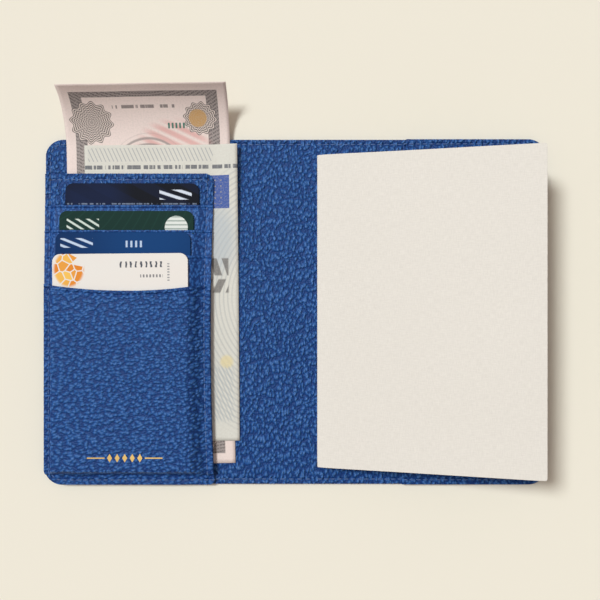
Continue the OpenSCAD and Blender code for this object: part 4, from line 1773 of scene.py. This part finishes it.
@dataclass
class Studio:
    """Camera, light and table top. The window is a second light that adds reflections only."""

    camera_mm: Point = (1.9, 4.8, 300.0)
    lens: float = 44.0
    key_direction: Point = (14.0, -10.0, -27.0)
    key_strength: float = 2.6
    key_softness: float = 14.0
    key_colour: Point = (0.937, 0.993, 1.0)
    sky_strength: float = 0.37
    sky_colour: Point = (1.0, 0.87, 0.79)
    window_mm: Point = (-80.0, 150.0, 300.0)
    window_size: float = 190.0
    window_power: float = 1.0
    table_half: float = 3000.0
    table_level: float = -0.05

    def place_camera(self) -> None:
        """Sets the camera straight above the open holder."""
        camera = bpy.data.cameras.new("camera")
        camera.lens = self.lens
        camera.sensor_width = 36.0
        camera.clip_start, camera.clip_end = 0.01, 20.0
        made = bpy.data.objects.new("camera", camera)
        made.location = tuple(v * MM for v in self.camera_mm)
        bpy.context.collection.objects.link(made)
        bpy.context.scene.camera = made

    def light(self) -> None:
        """Adds a soft sun from the upper left, an even warm sky and the window, with plain colours."""
        sun = bpy.data.lights.new("key", "SUN")
        sun.energy = self.key_strength
        sun.angle = math.radians(self.key_softness)
        sun.color = self.key_colour
        made = bpy.data.objects.new("key", sun)
        made.rotation_euler = Vector(self.key_direction).to_track_quat("-Z", "Y").to_euler()
        bpy.context.collection.objects.link(made)
        window = bpy.data.lights.new("window", "AREA")
        window.energy = self.window_power
        window.size = self.window_size * MM
        made = bpy.data.objects.new("window", window)
        made.location = tuple(v * MM for v in self.window_mm)
        made.rotation_euler = (-Vector(self.window_mm)).to_track_quat("-Z", "Y").to_euler()
        made.visible_diffuse = False
        bpy.context.collection.objects.link(made)
        bpy.context.scene.view_settings.view_transform = "Standard"
        world = bpy.data.worlds.new("sky")
        world.use_nodes = True
        background = world.node_tree.nodes["Background"]
        background.inputs["Color"].default_value = (*self.sky_colour, 1.0)
        background.inputs["Strength"].default_value = self.sky_strength
        bpy.context.scene.world = world

    def lay_table(self) -> None:
        """Adds the table top just below the holder."""
        material = TableTop().build()
        half, z = self.table_half, self.table_level
        verts = np.array([(-half, -half, z), (half, -half, z), (half, half, z), (-half, half, z)])
        table = make_object("table_top", verts, [(0, 1, 2, 3)], material)


def dress_boards() -> None:
    """Gives the sealed boards their finish."""
    material = GreyBoard().build()
    for node in ("stiffener_left", "stiffener_spine", "stiffener_right"):
        mesh = frame["nodes"][node].data
        mesh.materials.clear()
        mesh.materials.append(material)


def main() -> None:
    """Builds the studio and every piece in order."""
    logging.basicConfig(level=logging.INFO, format="%(name)s: %(message)s")
    studio = Studio()
    studio.place_camera()
    leather = PebbledLeather().build()
    fabric = WovenLining().build()
    sizes = Sizes()
    cover = Cover(sizes, leather)
    # The slot strips' leather takes a darker painted highlight on its pebble tops.
    strips = PebbledLeather("pressed_blue_leather", painted_highlight=(60, 102, 168), pebble=1.2, relief=0.22).build()
    # The front pocket's leather takes less of the painted highlight on its pebble tops.
    front = PebbledLeather(
        "soft_pebbled_blue_leather", pebble=2.0, slender=1.4, relief=0.6, highlight_share=0.34
    ).build()
    cards = CardSide(sizes, cover, leather, strips, front, fabric, PressedFoil().build())
    pocket = PassportPocket(sizes, cover, leather, fabric)
    builders = {
        "cover": cover.build,
        "boards": dress_boards,
        "card side": cards.build,
        "passport pocket": pocket.build,
        "seams": Seams(sizes, cards, pocket, StitchThread("blue_thread").build()).build,
        "cards": Cards().build,
        "large banknote": Banknote(
            "banknote_large", "large_note_body", "note_pink", NoteFace.LARGE,
            width=66.3, length=156.0, tilt=1.0, bend_radius=24.5, bend_length=27.5, seed=51,
        ).build,
        "small banknote": Banknote(
            "banknote_small", "small_note_body", "note_grey", NoteFace.SMALL,
            width=62.0, length=120.0, tilt=0.4, bend_radius=200.0, bend_length=16.0, seed=52, edge_lift=1.8,
        ).build,
        "booklet": Booklet(CoverPaper().build(), LeafPaper().build()).build,
        "light": studio.light,
        "table": studio.lay_table,
    }
    for name, build in builders.items():
        build()
        LOG.info("%s built", name)


if __name__ == "__main__":
    main()
